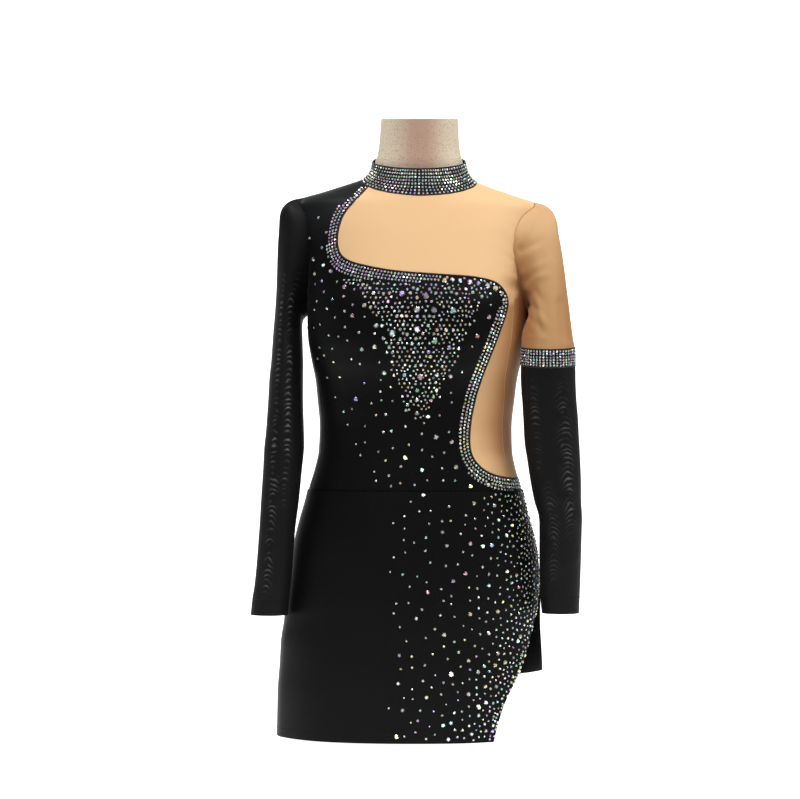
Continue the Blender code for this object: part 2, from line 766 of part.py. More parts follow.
def sleeve_head(rows, armhole, head):
    """Rings from the armhole seam to the first level ring."""
    side = math.copysign(1.0, rows[0][1])
    tuck, drop, top_reach = head
    top_y, bottom_y, centre_z, half_depth, half_height = armhole
    hole = (top_y, bottom_y, centre_z, half_depth - 2 * SEAM_GAP, half_height - 2 * SEAM_GAP)
    last = sleeve_ring(rows, rows[0][0])
    lean = HEAD_LEAN * (rows[0][2] - bottom_y) / (centre_z - rows[0][0])
    columns = []
    for i in range(SLEEVE_SIDES):
        turn = TURN * i / SLEEVE_SIDES
        start = offset_point(figure_point, armhole_place(hole, side, turn),
                             CLOTH_EASE + CLOTH_WALL + SEAM_GAP)
        top = 0.5 * (1.0 + math.cos(turn))
        forward = lean * (1.0 - top) - HEAD_FORWARD * math.sin(turn)
        out = Vector((side, forward, -0.75 + 0.60 * top)).normalized()
        reach = HEAD_LOW_REACH + (top_reach - HEAD_LOW_REACH) * top
        end = last[i]
        over = Vector((-side * tuck * max(0.0, math.cos(turn)), 0.0,
                       drop * max(0.02, start.z - end.z)))
        columns.append([bezier(start, start + out * reach, end + over, end, k / HEAD_RINGS)
                        for k in range(HEAD_RINGS + 1)])
    return [[column[k] for column in columns] for k in range(HEAD_RINGS + 1)]


def level_rings(rows, top, bottom, step, tilt_top=False, tilt_bottom=False):
    """Rings of a sleeve between two heights, both included."""
    count = max(1, round((top - bottom) / step))
    rings = []
    for i in range(count + 1):
        lift = (tilt_top and i == 0) or (tilt_bottom and i == count)
        rings.append(sleeve_ring(rows, top + (bottom - top) * i / count, lift=lift))
    return rings


def tube(name, rings, finish, collection, flip):
    """Open tube from rings of equal count, thickened inwards."""
    sides = len(rings[0])
    verts = [point for ring in rings for point in ring]
    faces = []
    for k in range(len(rings) - 1):
        for i in range(sides):
            j = (i + 1) % sides
            quad = [k * sides + i, k * sides + j, (k + 1) * sides + j, (k + 1) * sides + i]
            faces.append(quad[::-1] if flip else quad)
    return thicken(add_mesh(name, verts, faces, finish, collection), SLEEVE_WALL, outward=-1.0)


def sleeves(collection, black, nude, crystal):
    """Right mesh sleeve, and the left sleeve's upper part, band and lower part."""
    right = sleeve_head(SLEEVE_RIGHT, ARMHOLE_RIGHT, HEAD_RIGHT)[:-1]
    right += level_rings(SLEEVE_RIGHT, SLEEVE_RIGHT[0][0], SLEEVE_RIGHT[-1][0], SLEEVE_RING_STEP)
    tube("sleeve_right", right, black, collection, flip=True)
    upper = sleeve_head(SLEEVE_LEFT, ARMHOLE_LEFT, HEAD_LEFT)
    half = 0.5 * SEAM_GAP
    upper += level_rings(SLEEVE_LEFT, BAND_TOP_Z + half, BAND_TOP_Z + half, 1.0, tilt_top=True)[:1]
    tube("sleeve_left_upper", upper, nude, collection, flip=False)
    band = level_rings(SLEEVE_LEFT, BAND_TOP_Z - half, BAND_BOTTOM_Z + half, BAND_RING_STEP,
                       tilt_top=True, tilt_bottom=True)
    tube("sleeve_left_band", band, crystal, collection, flip=False)
    lower = level_rings(SLEEVE_LEFT, BAND_BOTTOM_Z - half, SLEEVE_LEFT[-1][0], SLEEVE_RING_STEP,
                        tilt_top=True)
    tube("sleeve_left_lower", lower, black, collection, flip=False)


def skirt_angle_at_x(x, height):
    """Angle on the skirt's front with a given x."""
    share = (x - SKIRT_CURVES["centre"](height)) / SKIRT_CURVES["half_width"](height)
    return math.asin(signed_power(min(1.0, share), SKIRT_CURVES["power"](height) / 2.0))


def back_hem_height(angle):
    """The back hem is high at the slit and runs down to the right side seam."""
    start = math.radians(SKIRT_SIDE_ANGLE)
    share = min(1.0, max(0.0, (angle - start) / (TURN - QUARTER - start)))
    return HEM_Z + (BACK_HEM_HIGH_Z - HEM_Z) * (1.0 - share) ** BACK_HEM_POWER


def skirt(collection, black):
    """Front with its free edge at the left, and the back behind it."""
    side_angle = math.radians(SKIRT_SIDE_ANGLE)
    waist = WAIST_SEAM_Z
    edge = []
    for height in [HEM_Z + (SLIT_TOP_Z - HEM_Z) * i / 9 for i in range(10)]:
        edge.append((skirt_angle_at_x(FREE_EDGE_CURVES["x"](height), height), height))
    join = resample([edge[-1], (side_angle, SLIT_JOIN_Z), (side_angle, waist)], SKIRT_STEP)
    right_low = (-QUARTER, HEM_Z)
    right_high = (-QUARTER, waist)
    front = join_lines(
        straight(right_low, edge[0], 16) + [edge[0]],
        edge,
        join,
        straight(join[-1], right_high, 16) + [right_high],
        straight(right_high, right_low, 12) + [right_low],
    )
    back_hem = []
    for i in range(17):
        angle = side_angle + (TURN - QUARTER - side_angle) * i / 16
        back_hem.append((angle, back_hem_height(angle)))
    back_right_high = (TURN - QUARTER, waist)
    left_edge = resample([(side_angle, waist), (side_angle, BACK_HEM_HIGH_Z)], SKIRT_STEP)
    back = join_lines(
        back_hem,
        straight(back_hem[-1], back_right_high, 12) + [back_right_high],
        straight(back_right_high, left_edge[0], 16) + [left_edge[0]],
        left_edge,
    )
    for name, outline in (("skirt_front", front), ("skirt_back", back)):
        panel(name, skirt_point, outline, -CLOTH_WALL, CLOTH_WALL, black, collection,
              step=SKIRT_STEP, width_scale=SKIRT_WIDTH_SCALE)


def leg_cut_height(x):
    """Height of the slanted leg cut at a distance from the middle."""
    return LEG_CUT_LOW_Z + LEG_CUT_SLOPE * (abs(x) - CROTCH_HALF_WIDTH)


def leg_edge(side, back):
    """Places along the brief's leg opening, from the crotch up to the side."""
    places = []
    for height in [BRIEF_BOTTOM_Z + (LEG_CUT_HIGH_Z - BRIEF_BOTTOM_Z) * i / 9 for i in range(10)]:
        x = CROTCH_HALF_WIDTH + (height - LEG_CUT_LOW_Z) / LEG_CUT_SLOPE - BRIEF_MARGIN
        place = place_at_x(side * x + figure_centre(height), height, back)
        places.append((place[0] % TURN if back else place[0], place[1]))
    return places


def brief(collection, black):
    """Front and back of the pants under the skirt, meeting at the sides and the crotch."""
    waist = level_of(WAIST_SEAM_Z)
    for name, back in (("brief_front", False), ("brief_back", True)):
        ends = (QUARTER, TURN - QUARTER) if back else (-QUARTER, QUARTER)
        first, second = (1, -1) if back else (-1, 1)
        first_leg, second_leg = leg_edge(first, back), leg_edge(second, back)
        first_side = [first_leg[-1], (ends[0], first_leg[-1][1])]
        second_side = [second_leg[-1], (ends[1], second_leg[-1][1])]
        outline = join_lines(
            straight(first_leg[0], second_leg[0], 4) + [second_leg[0]],
            second_leg,
            second_side,
            resample([second_side[-1], (ends[1], waist)], BRIEF_STEP),
            straight((ends[1], waist), (ends[0], waist), 16) + [(ends[0], waist)],
            resample([(ends[0], waist), first_side[-1]], BRIEF_STEP),
            first_side[::-1],
            first_leg[::-1],
        )
        panel(name, figure_point, outline, BRIEF_EASE, CLOTH_WALL, black, collection,
              step=BRIEF_STEP)


def leg_cutter(side, collection):
    """Large box whose upper face is the leg cut."""
    bpy.ops.mesh.primitive_cube_add(size=1.0)
    cutter = bpy.context.object
    cutter.name = "leg_cutter_left" if side > 0 else "leg_cutter_right"
    slant = math.atan(LEG_CUT_SLOPE)
    cutter.scale = (LEG_CUTTER_SIZE,) * 3
    cutter.rotation_euler = (0.0, -side * slant, 0.0)
    along = Vector((side * math.cos(slant), 0.0, math.sin(slant)))
    down = Vector((side * math.sin(slant), 0.0, -math.cos(slant)))
    corner = Vector((side * CROTCH_HALF_WIDTH, 0.0, LEG_CUT_LOW_Z))
    cutter.location = corner + (along + down) * 0.5 * LEG_CUTTER_SIZE
    cutter.hide_render = True
    cutter.display_type = "WIRE"
    for holder in list(cutter.users_collection):
        holder.objects.unlink(cutter)
    collection.objects.link(cutter)
    return cutter


def dress_form(collection, cutters, finish):
    """Torso and neck as one solid with two slanted leg cuts."""
    levels = [FIGURE_LENGTHS[1]]
    for low, high in zip(FIGURE_LENGTHS[1:], FIGURE_LENGTHS[2:]):
        parts = max(1, round((high - low) / FORM_RING_STEP))
        levels += [low + (high - low) * (i + 1) / parts for i in range(parts)]
    verts = []
    inset_at = table_curves(FORM_INSET, INSET_COLUMNS)["inset"]
    for level in levels:
        depth = inset_at(FIGURE_CURVES["height"](level))
        for i in range(FORM_SIDES):
            place = (TURN * i / FORM_SIDES, level)
            verts.append(offset_point(figure_point, place, -depth))
    for vert in verts[-FORM_SIDES:]:
        vert.z = NECK_TOP_Z + NECK_TOP_SLOPE * vert.y
    count = FORM_SIDES
    faces = [list(range(count))[::-1]]
    for k in range(len(levels) - 1):
        for i in range(count):
            j = (i + 1) % count
            faces.append([k * count + i, k * count + j, (k + 1) * count + j, (k + 1) * count + i])
    faces.append([(len(levels) - 1) * count + i for i in range(count)])
    form = add_mesh("form_torso", verts, faces, finish, collection)
    form.data.set_sharp_from_angle(angle=math.radians(50.0))
    for side in (1, -1):
        cut = form.modifiers.new("leg_cut", "BOOLEAN")
        cut.operation = "DIFFERENCE"
        cut.solver = "EXACT"
        cut.object = leg_cutter(side, cutters)
    return form


def stand(collection, finish):
    """Base plate hidden inside the skirt, and two rods up to the leg cuts."""
    bpy.ops.mesh.primitive_cylinder_add(vertices=40, radius=BASE_RADIUS, depth=BASE_HEIGHT,
                                        location=(*BASE_CENTRE, 0.5 * BASE_HEIGHT))
    base = bpy.context.object
    base.name = "stand_base"
    bevel = base.modifiers.new("soft_rim", "BEVEL")
    bevel.width = 0.0015
    bevel.segments = 1
    bevel.limit_method = "ANGLE"
    pieces = [base]
    for side, name in ((-1, "stand_rod_right"), (1, "stand_rod_left")):
        low = BASE_HEIGHT + SEAM_GAP
        bpy.ops.mesh.primitive_cylinder_add(vertices=16, radius=ROD_RADIUS, depth=1.0)
        rod = bpy.context.object
        rod.name = name
        for vert in rod.data.vertices:
            x = side * ROD_X + vert.co.x
            top = leg_cut_height(x) - SEAM_GAP * math.hypot(1.0, LEG_CUT_SLOPE)
            vert.co = (x, ROD_Y + vert.co.y, low if vert.co.z < 0.0 else top)
        pieces.append(rod)
    for piece in pieces:
        piece.data.materials.append(finish)
        piece.data.shade_smooth()
        piece.data.set_sharp_from_angle(angle=math.radians(40.0))
        for holder in list(piece.users_collection):
            holder.objects.unlink(piece)
        collection.objects.link(piece)


def main():
    """Clear the scene and build every piece."""
    for thing in list(bpy.data.objects):
        bpy.data.objects.remove(thing, do_unlink=True)
    collection = bpy.data.collections.new(COLLECTION_NAME)
    cutters = bpy.data.collections.new(CUTTER_COLLECTION_NAME)
    bpy.context.scene.collection.children.link(collection)
    bpy.context.scene.collection.children.link(cutters)
    black = material("black_jersey", (0.012, 0.012, 0.013), 0.65)
    mesh_black = material("black_mesh", (0.014, 0.014, 0.015), 0.7)
    nude = material("nude_jersey", (0.82, 0.56, 0.33), 0.6)
    crystal = material("crystal_band", (0.30, 0.32, 0.33), 0.3)
    cover = material("form_cover", (0.66, 0.56, 0.46), 0.85)
    metal = material("stand_metal", (0.45, 0.45, 0.46), 0.35, metallic=1.0)
    dress_form(collection, cutters, cover)
    stand(collection, metal)
    bodice(collection, black, nude)
    collar(collection, crystal)
    sleeves(collection, mesh_black, nude, crystal)
    skirt(collection, black)
    brief(collection, black)


main()
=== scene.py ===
"""Looks of the gymnastics leotard on its dress form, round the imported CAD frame.

Metres, +Z up, the form faces -Y and +X is the wearer's left. The cloth pieces
repeat the surfaces of the CAD source with finer meshes, and the crystals,
binding, stitching and hooks are placed on the same surfaces.
"""
import math
import random
from bisect import bisect_right
from itertools import accumulate, product

import bpy
import numpy as np
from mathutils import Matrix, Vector
from mathutils.geometry import delaunay_2d_cdt


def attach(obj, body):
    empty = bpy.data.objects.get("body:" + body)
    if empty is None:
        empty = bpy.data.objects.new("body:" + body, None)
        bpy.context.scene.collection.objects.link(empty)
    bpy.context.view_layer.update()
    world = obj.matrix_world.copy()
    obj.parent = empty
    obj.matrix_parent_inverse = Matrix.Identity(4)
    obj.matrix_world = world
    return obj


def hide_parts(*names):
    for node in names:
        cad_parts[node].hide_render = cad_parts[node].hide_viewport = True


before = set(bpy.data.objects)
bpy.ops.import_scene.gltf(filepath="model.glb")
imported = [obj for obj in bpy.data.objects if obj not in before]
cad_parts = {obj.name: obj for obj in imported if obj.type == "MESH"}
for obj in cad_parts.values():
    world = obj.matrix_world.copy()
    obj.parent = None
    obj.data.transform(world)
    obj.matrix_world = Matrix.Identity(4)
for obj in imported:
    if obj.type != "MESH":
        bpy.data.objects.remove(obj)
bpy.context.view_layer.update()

# Cloth walls and clearances
CLOTH_WALL = 0.0012
CLOTH_EASE = 0.0015
BRIEF_EASE = 0.0006
SEAM_GAP = 0.0002
NECK_GAP = 0.0002

# Levels on the figure
WAIST_SEAM_Z = 0.3120
CENTRE_AT_FLOOR = -0.0065
CENTRE_LEAN = 0.0125
TURN = 2.0 * math.pi
QUARTER = 0.5 * math.pi

# The dress form as level slices. front and back are distances from y = 0 and
# power is the squareness of the slice.
FIGURE_COLUMNS = ("height", "half_width", "front", "back", "power")
FIGURE = (
    (0.1500, 0.1180, 0.0040, 0.0060, 2.00),
    (0.1530, 0.1220, 0.0220, 0.0280, 2.00),
    (0.1600, 0.1285, 0.0420, 0.0500, 2.10),
    (0.1720, 0.1330, 0.0600, 0.0690, 2.20),
    (0.1900, 0.1385, 0.0770, 0.0870, 2.20),
    (0.2150, 0.1420, 0.0860, 0.0980, 2.20),
    (0.2450, 0.1415, 0.0885, 0.1000, 2.20),
    (0.2750, 0.1365, 0.0880, 0.0970, 2.20),
    (0.3120, 0.1300, 0.0865, 0.0900, 2.20),
    (0.3370, 0.1228, 0.0850, 0.0850, 2.20),
    (0.3620, 0.1180, 0.0830, 0.0810, 2.20),
    (0.3900, 0.1172, 0.0820, 0.0800, 2.20),
    (0.4240, 0.1203, 0.0830, 0.0820, 2.30),
    (0.4490, 0.1232, 0.0875, 0.0850, 2.30),
    (0.4740, 0.1285, 0.0950, 0.0880, 2.35),
    (0.5050, 0.1335, 0.1010, 0.0930, 2.35),
    (0.5350, 0.1345, 0.1010, 0.0980, 2.40),
    (0.5650, 0.1343, 0.0930, 0.1000, 2.40),
    (0.6000, 0.1352, 0.0810, 0.1000, 2.35),
    (0.6350, 0.1415, 0.0690, 0.0940, 2.20),
    (0.6550, 0.1480, 0.0620, 0.0850, 1.95),
    (0.6655, 0.1515, 0.0585, 0.0760, 1.80),
    (0.6712, 0.1415, 0.0565, 0.0700, 1.70),
    (0.6768, 0.1230, 0.0550, 0.0650, 1.65),
    (0.6830, 0.1040, 0.0540, 0.0610, 1.65),
    (0.6895, 0.0850, 0.0530, 0.0580, 1.75),
    (0.6955, 0.0695, 0.0520, 0.0560, 1.90),
    (0.7040, 0.0608, 0.0510, 0.0545, 2.00),
    (0.7120, 0.0572, 0.0505, 0.0535, 2.00),
    (0.7215, 0.0550, 0.0500, 0.0525, 2.00),
    (0.7300, 0.0522, 0.0490, 0.0515, 2.00),
    (0.7380, 0.0506, 0.0480, 0.0505, 2.00),
    (0.7500, 0.0495, 0.0475, 0.0500, 2.00),
    (0.7750, 0.0480, 0.0470, 0.0490, 2.00),
)

# The wearer's left shoulder sits lower: fall for each metre towards +X
TILT_COLUMNS = ("height", "tilt")
SHOULDER_TILT = (
    (0.5600, 0.000),
    (0.6500, 0.020),
    (0.6900, 0.020),
    (0.7080, 0.000),
)

# The skirt's outer face as level slices, with its own centre
SKIRT_COLUMNS = ("height", "half_width", "front", "back", "power", "centre")
SKIRT = (
    (0.0060, 0.1665, 0.1060, 0.1180, 2.20, -0.0085),
    (0.0615, 0.1655, 0.1040, 0.1160, 2.20, -0.0085),
    (0.0990, 0.1638, 0.1030, 0.1155, 2.20, -0.0075),
    (0.1240, 0.1625, 0.1020, 0.1150, 2.20, -0.0075),
    (0.1490, 0.1600, 0.1015, 0.1145, 2.20, -0.0062),
    (0.1740, 0.1590, 0.1010, 0.1140, 2.20, -0.0050),
    (0.2240, 0.1547, 0.0990, 0.1120, 2.20, -0.0028),
    (0.2490, 0.1502, 0.0975, 0.1095, 2.20, -0.0030),
    (0.2740, 0.1440, 0.0950, 0.1055, 2.20, -0.0031),
    (0.2995, 0.1370, 0.0930, 0.0985, 2.20, -0.0028),
    (0.3125, 0.1342, 0.0909, 0.0942, 2.20, -0.0026),
)

# Soft folds of the skirt. Columns: where on the round, half angle, height at the hem
SKIRT_FOLDS = (
    (-74.0, 9.0, 0.0022),
    (-38.0, 14.0, 0.0012),
    (22.0, 12.0, 0.0014),
    (128.0, 13.0, 0.0030),
    (161.0, 11.0, 0.0024),
    (203.0, 14.0, 0.0034),
    (236.0, 10.0, 0.0026),
)
FOLD_TOP_Z = 0.270

# The S-shaped design line from the collar to the side. Columns: x, height
DESIGN_LINE = (
    (-0.0560, 0.6870),
    (-0.0720, 0.6690),
    (-0.0880, 0.6500),
    (-0.0955, 0.6270),
    (-0.0945, 0.6060),
    (-0.0840, 0.5935),
    (-0.0560, 0.5852),
    (-0.0200, 0.5795),
    (0.0360, 0.5756),
    (0.0720, 0.5730),
    (0.0968, 0.5660),
    (0.1092, 0.5484),
    (0.1066, 0.5262),
    (0.0928, 0.4880),
    (0.0800, 0.4550),
    (0.0700, 0.4220),
    (0.0640, 0.3860),
    (0.0658, 0.3578),
    (0.0784, 0.3402),
    (0.0970, 0.3306),
    (0.1180, 0.3266),
)

# The seam between front and back on each side, as an angle from the front
SIDE_SEAM_COLUMNS = ("height", "left_angle", "right_angle")
SIDE_SEAM = (
    (0.3120, 71.0, 80.0),
    (0.3400, 67.0, 77.0),
    (0.3620, 63.0, 75.0),
    (0.4240, 60.0, 74.0),
    (0.4860, 56.0, 76.0),
    (0.5480, 56.5, 86.0),
    (0.5740, 60.0, 90.0),
)

# Collar edges: height at the side, drop to the front, rise to the back, and how
# fast the edge leaves its side height
COLLAR_BOTTOM = (0.6945, 0.0205, 0.0130, 2.3)
COLLAR_TOP = (0.7215, 0.0135, 0.0135, 1.0)

# The back line of the design crosses the centre-back opening under this height
BACK_CROSSING_Z = 0.600

# Armholes as leaning ovals seen from the side: y at the top and at the bottom,
# centre z, half depth, half height
ARMHOLE_LEFT = (0.000, -0.005, 0.601, 0.046, 0.070)
ARMHOLE_RIGHT = (0.002, 0.022, 0.601, 0.037, 0.070)

# Sleeves below the head, each row one level ring of the outer face
SLEEVE_COLUMNS = ("height", "centre_x", "centre_y", "half_width", "half_depth")
SLEEVE_LEFT = (
    (0.4980, 0.1600, -0.0530, 0.0316, 0.0310),
    (0.4885, 0.1607, -0.0525, 0.0328, 0.0315),
    (0.4665, 0.1609, -0.0515, 0.0336, 0.0318),
    (0.4485, 0.1611, -0.0500, 0.0338, 0.0320),
    (0.4240, 0.1625, -0.0490, 0.0335, 0.0320),
    (0.3990, 0.1643, -0.0490, 0.0338, 0.0315),
    (0.3750, 0.1655, -0.0485, 0.0338, 0.0310),
    (0.3500, 0.1680, -0.0480, 0.0327, 0.0300),
    (0.3250, 0.1704, -0.0480, 0.0313, 0.0290),
    (0.3000, 0.1729, -0.0475, 0.0290, 0.0275),
    (0.2760, 0.1766, -0.0470, 0.0265, 0.0260),
    (0.2270, 0.1761, -0.0460, 0.0257, 0.0240),
    (0.1800, 0.1759, -0.0450, 0.0243, 0.0225),
    (0.1610, 0.1765, -0.0450, 0.0230, 0.0220),
)
SLEEVE_RIGHT = (
    (0.5115, -0.1619, 0.0120, 0.0181, 0.0430),
    (0.4740, -0.1621, -0.0010, 0.0199, 0.0410),
    (0.4490, -0.1631, -0.0080, 0.0211, 0.0390),
    (0.4240, -0.1635, -0.0150, 0.0217, 0.0370),
    (0.3870, -0.1639, -0.0230, 0.0235, 0.0340),
    (0.3620, -0.1649, -0.0280, 0.0248, 0.0320),
    (0.3370, -0.1666, -0.0330, 0.0241, 0.0300),
    (0.3005, -0.1694, -0.0380, 0.0235, 0.0270),
    (0.2600, -0.1730, -0.0420, 0.0222, 0.0245),
    (0.2270, -0.1754, -0.0440, 0.0222, 0.0230),
    (0.1960, -0.1781, -0.0450, 0.0225, 0.0225),
    (0.1775, -0.1806, -0.0450, 0.0229, 0.0225),
    (0.1590, -0.1822, -0.0450, 0.0232, 0.0225),
)
BAND_TOP_Z = 0.4885
BAND_BOTTOM_Z = 0.4665
BAND_TILT = 0.12

# How a sleeve head turns over the shoulder: inward lean of its side, share of the
# height that this side stands straight, and how far the top reaches out
HEAD_LEFT = (0.016, 0.71, 0.034)
HEAD_RIGHT = (0.010, 0.60, 0.037)
HEAD_LOW_REACH = 0.011
HEAD_FORWARD = 0.45
HEAD_LEAN = 0.8

# Skirt edges
HEM_Z = 0.0075
SLIT_TOP_Z = 0.2050
SLIT_JOIN_Z = 0.2350
SKIRT_SIDE_ANGLE = 88.0
FREE_EDGE_COLUMNS = ("height", "x")
FRONT_FREE_EDGE = (
    (0.0075, 0.0925),
    (0.0300, 0.0985),
    (0.0530, 0.1065),
    (0.0890, 0.1247),
    (0.1150, 0.1345),
    (0.1450, 0.1430),
    (0.1750, 0.1500),
    (0.2050, 0.1515),
)
BACK_HEM_HIGH_Z = 0.0865
BACK_HEM_POWER = 0.8

# Leg openings of the form and the brief
CROTCH_HALF_WIDTH = 0.030
LEG_CUT_HALF_WIDTH = 0.142
LEG_CUT_LOW_Z = 0.150
LEG_CUT_HIGH_Z = 0.235
LEG_CUT_SLOPE = (LEG_CUT_HIGH_Z - LEG_CUT_LOW_Z) / (LEG_CUT_HALF_WIDTH - CROTCH_HALF_WIDTH)
BRIEF_MARGIN = 0.004
BRIEF_BOTTOM_Z = 0.1506

# Fineness of the meshes, and the metres that one radian stands for round the figure,
# the skirt, the collar and a sleeve
WIDTH_SCALE = 0.115
PANEL_STEP = 0.0062
BRIEF_STEP = 0.010
LINE_STEP = 0.0035
SKIRT_STEP = 0.0085
SKIRT_WIDTH_SCALE = 0.135
COLLAR_STEP = 0.0040
COLLAR_WIDTH_SCALE = 0.06
SLEEVE_SIDES = 96
SLEEVE_RADIUS = 0.030
SLEEVE_RING_STEP = 0.0050
HEAD_RINGS = 56
ARMHOLE_STEP = 0.055
NECK_STEP = 0.07
WAIST_STEP = 0.05


def spread(start, end, count):
    """Even steps from start to end, both included."""
    return [start + (end - start) * i / count for i in range(count + 1)]


def running(steps):
    """Lengths that add up along a line, from 0."""
    return [0.0, *accumulate(steps)]


def clamp(value, low=0.0, high=1.0):
    """A value kept between two limits."""
    return max(low, min(high, value))


def slopes_of(xs, ys):
    """Slopes that keep a curve through the points free of overshoot."""
    steps = [(ys[i + 1] - ys[i]) / (xs[i + 1] - xs[i]) for i in range(len(xs) - 1)]
    slopes = [steps[0]]
    for before, after in zip(steps, steps[1:]):
        same_way = before * after > 0.0
        slopes.append(2.0 * before * after / (before + after) if same_way else 0.0)
    return slopes + [steps[-1]]


def make_curve(xs, ys):
    """A smooth function through the points, held level past both ends."""
    slopes = slopes_of(xs, ys)

    def curve(x):
        if x <= xs[0]:
            return ys[0]
        if x >= xs[-1]:
            return ys[-1]
        i = bisect_right(xs, x) - 1
        span = xs[i + 1] - xs[i]
        s = (x - xs[i]) / span
        rise = ys[i] * (1 + 2 * s) * (1 - s) ** 2 + ys[i + 1] * s * s * (3 - 2 * s)
        return rise + span * (slopes[i] * s * (1 - s) ** 2 + slopes[i + 1] * s * s * (s - 1))

    return curve


def table_curves(rows, columns, keys=None):
    """One smooth curve for each column against the keys, or the first column."""
    keys = keys or [row[0] for row in rows]
    return {name: make_curve(keys, [row[i] for row in rows]) for i, name in enumerate(columns)}


def path_lengths(rows):
    """Length along the side outline at each row, from half width and height."""
    return running(math.hypot(high[0] - low[0], high[1] - low[1]) for low, high in zip(rows, rows[1:]))

FIGURE_LENGTHS = path_lengths(FIGURE)
FIGURE_CURVES = table_curves(FIGURE, FIGURE_COLUMNS, FIGURE_LENGTHS)
TILT_CURVES = table_curves(SHOULDER_TILT, TILT_COLUMNS)
SKIRT_CURVES = table_curves(SKIRT, SKIRT_COLUMNS)
SIDE_SEAM_CURVES = table_curves(SIDE_SEAM, SIDE_SEAM_COLUMNS)
FREE_EDGE_CURVES = table_curves(FRONT_FREE_EDGE, FREE_EDGE_COLUMNS)


def signed_power(value, power):
    """Power of a number that keeps its sign."""
    return math.copysign(abs(value) ** power, value)


def slice_point(angle, half_width, front, back, power, centre, height):
    """Point of a level slice at an angle from the front towards +X."""
    x = centre + half_width * signed_power(math.sin(angle), 2.0 / power)
    depth = front if math.cos(angle) > 0.0 else back
    y = -depth * signed_power(math.cos(angle), 2.0 / power)
    return Vector((x, y, height))


def figure_centre(height):
    """The figure leans a little to its left on the way up."""
    return CENTRE_AT_FLOOR + CENTRE_LEAN * height


def figure_point(angle, level):
    """Point of the dress form. level is the length along its side outline."""
    height = FIGURE_CURVES["height"](level)
    shape = [FIGURE_CURVES[name](level) for name in FIGURE_COLUMNS[1:]]
    point = slice_point(angle, *shape, figure_centre(height), height)
    point.z -= TILT_CURVES["tilt"](height) * point.x
    return point


def skirt_point(angle, height):
    """Point of the skirt's outer face, with its soft folds."""
    shape = [SKIRT_CURVES[name](height) for name in SKIRT_COLUMNS[1:5]]
    point = slice_point(angle, *shape, SKIRT_CURVES["centre"](height), height)
    low = max(0.0, (FOLD_TOP_Z - height) / (FOLD_TOP_Z - HEM_Z))
    turned = math.degrees(angle)
    swell = sum(rise * math.exp(-(((turned - where + 180) % 360 - 180) / spread) ** 2)
                for where, spread, rise in SKIRT_FOLDS)
    return point + Vector((math.sin(angle), -math.cos(angle), 0.0)) * swell * low ** 1.5


def tangents(surface, angle, level):
    """The surface's two directions at a place: round it and up it."""
    turn, rise = 0.02, 0.001
    along = (surface(angle + turn, level) - surface(angle - turn, level)) / (2 * turn)
    up = (surface(angle, level + rise) - surface(angle, level - rise)) / (2 * rise)
    return along, up


def normal_at(surface, place):
    """Outward normal of a surface at a place."""
    along, up = tangents(surface, *place)
    return along.cross(up).normalized()


def offset_point(surface, place, offset):
    """Point of a surface moved outwards along its normal."""
    return surface(*place) + normal_at(surface, place) * offset


def moved_place(place, along, up, move):
    """A place moved by a vector that lies in the surface, whose two directions are given."""
    aa, uu, au = along.dot(along), up.dot(up), along.dot(up)
    ia, iu = move.dot(along), move.dot(up)
    whole = aa * uu - au * au
    return (place[0] + (ia * uu - iu * au) / whole, place[1] + (iu * aa - ia * au) / whole)


def slice_angle(share, power):
    """Angle from the front where a slice reaches a share of its half width."""
    return math.asin(signed_power(clamp(share, -1.0, 1.0), power / 2.0))


def level_of(height):
    """Level on the figure for a height, by halving."""
    low, high = 0.0, FIGURE_LENGTHS[-1]
    for _ in range(40):
        middle = 0.5 * (low + high)
        if FIGURE_CURVES["height"](middle) < height:
            low = middle
        else:
            high = middle
    return 0.5 * (low + high)


def place_at_x(x, height, back=False):
    """Place on the figure's front or back with a given x and height."""
    level = level_of(height)
    share = (x - figure_centre(height)) / FIGURE_CURVES["half_width"](level)
    angle = slice_angle(share, FIGURE_CURVES["power"](level))
    return (math.pi - angle if back else angle, level)


def place_at_y(y, height, side):
    """Place on the figure's left (+1) or right (-1) side with a given y and height."""
    level = level_of(height)
    share = clamp(-y / FIGURE_CURVES["front" if y < 0.0 else "back"](level), -1.0, 1.0)
    return (side * math.acos(signed_power(share, FIGURE_CURVES["power"](level) / 2.0)), level)


def collar_height(edge, angle):
    """Height of a collar edge round the neck."""
    side, drop, rise, sharpness = edge
    share = signed_power(math.cos(angle), sharpness)
    return side - 0.5 * (drop + rise) * share - 0.5 * (drop - rise) * abs(share)


def neck_place(angle):
    """Place on the bodice's neck edge, just below the collar."""
    return (angle, level_of(collar_height(COLLAR_BOTTOM, angle)) - NECK_GAP)


def armhole_place(armhole, side, turn):
    """Place on an armhole. turn runs from the top over the front to the bottom."""
    top_y, bottom_y, centre_z, half_depth, half_height = armhole
    share = 0.5 * (1.0 + math.cos(turn))
    y = bottom_y + (top_y - bottom_y) * share - half_depth * math.sin(turn)
    return place_at_y(y, centre_z + half_height * math.cos(turn), side)


def straight(start, end, count):
    """Places in a straight row, both ends included."""
    return [tuple(a + (b - a) * i / count for a, b in zip(start, end)) for i in range(count)] + [end]


def resample(points, step):
    """Even points along a polyline of places, both ends kept."""
    ends = [Vector(point) for point in points]
    lengths = running(math.hypot((high[0] - low[0]) * WIDTH_SCALE, high[1] - low[1])
                      for low, high in zip(ends, ends[1:]))
    count = max(1, round(lengths[-1] / step))
    evenly = []
    for i in range(count + 1):
        target = lengths[-1] * i / count
        k = max(n for n in range(len(ends)) if lengths[n] <= target + 1e-12)
        if k >= len(ends) - 1:
            evenly.append(tuple(ends[-1]))
            continue
        share = (target - lengths[k]) / (lengths[k + 1] - lengths[k])
        evenly.append(tuple(ends[k].lerp(ends[k + 1], share)))
    return evenly


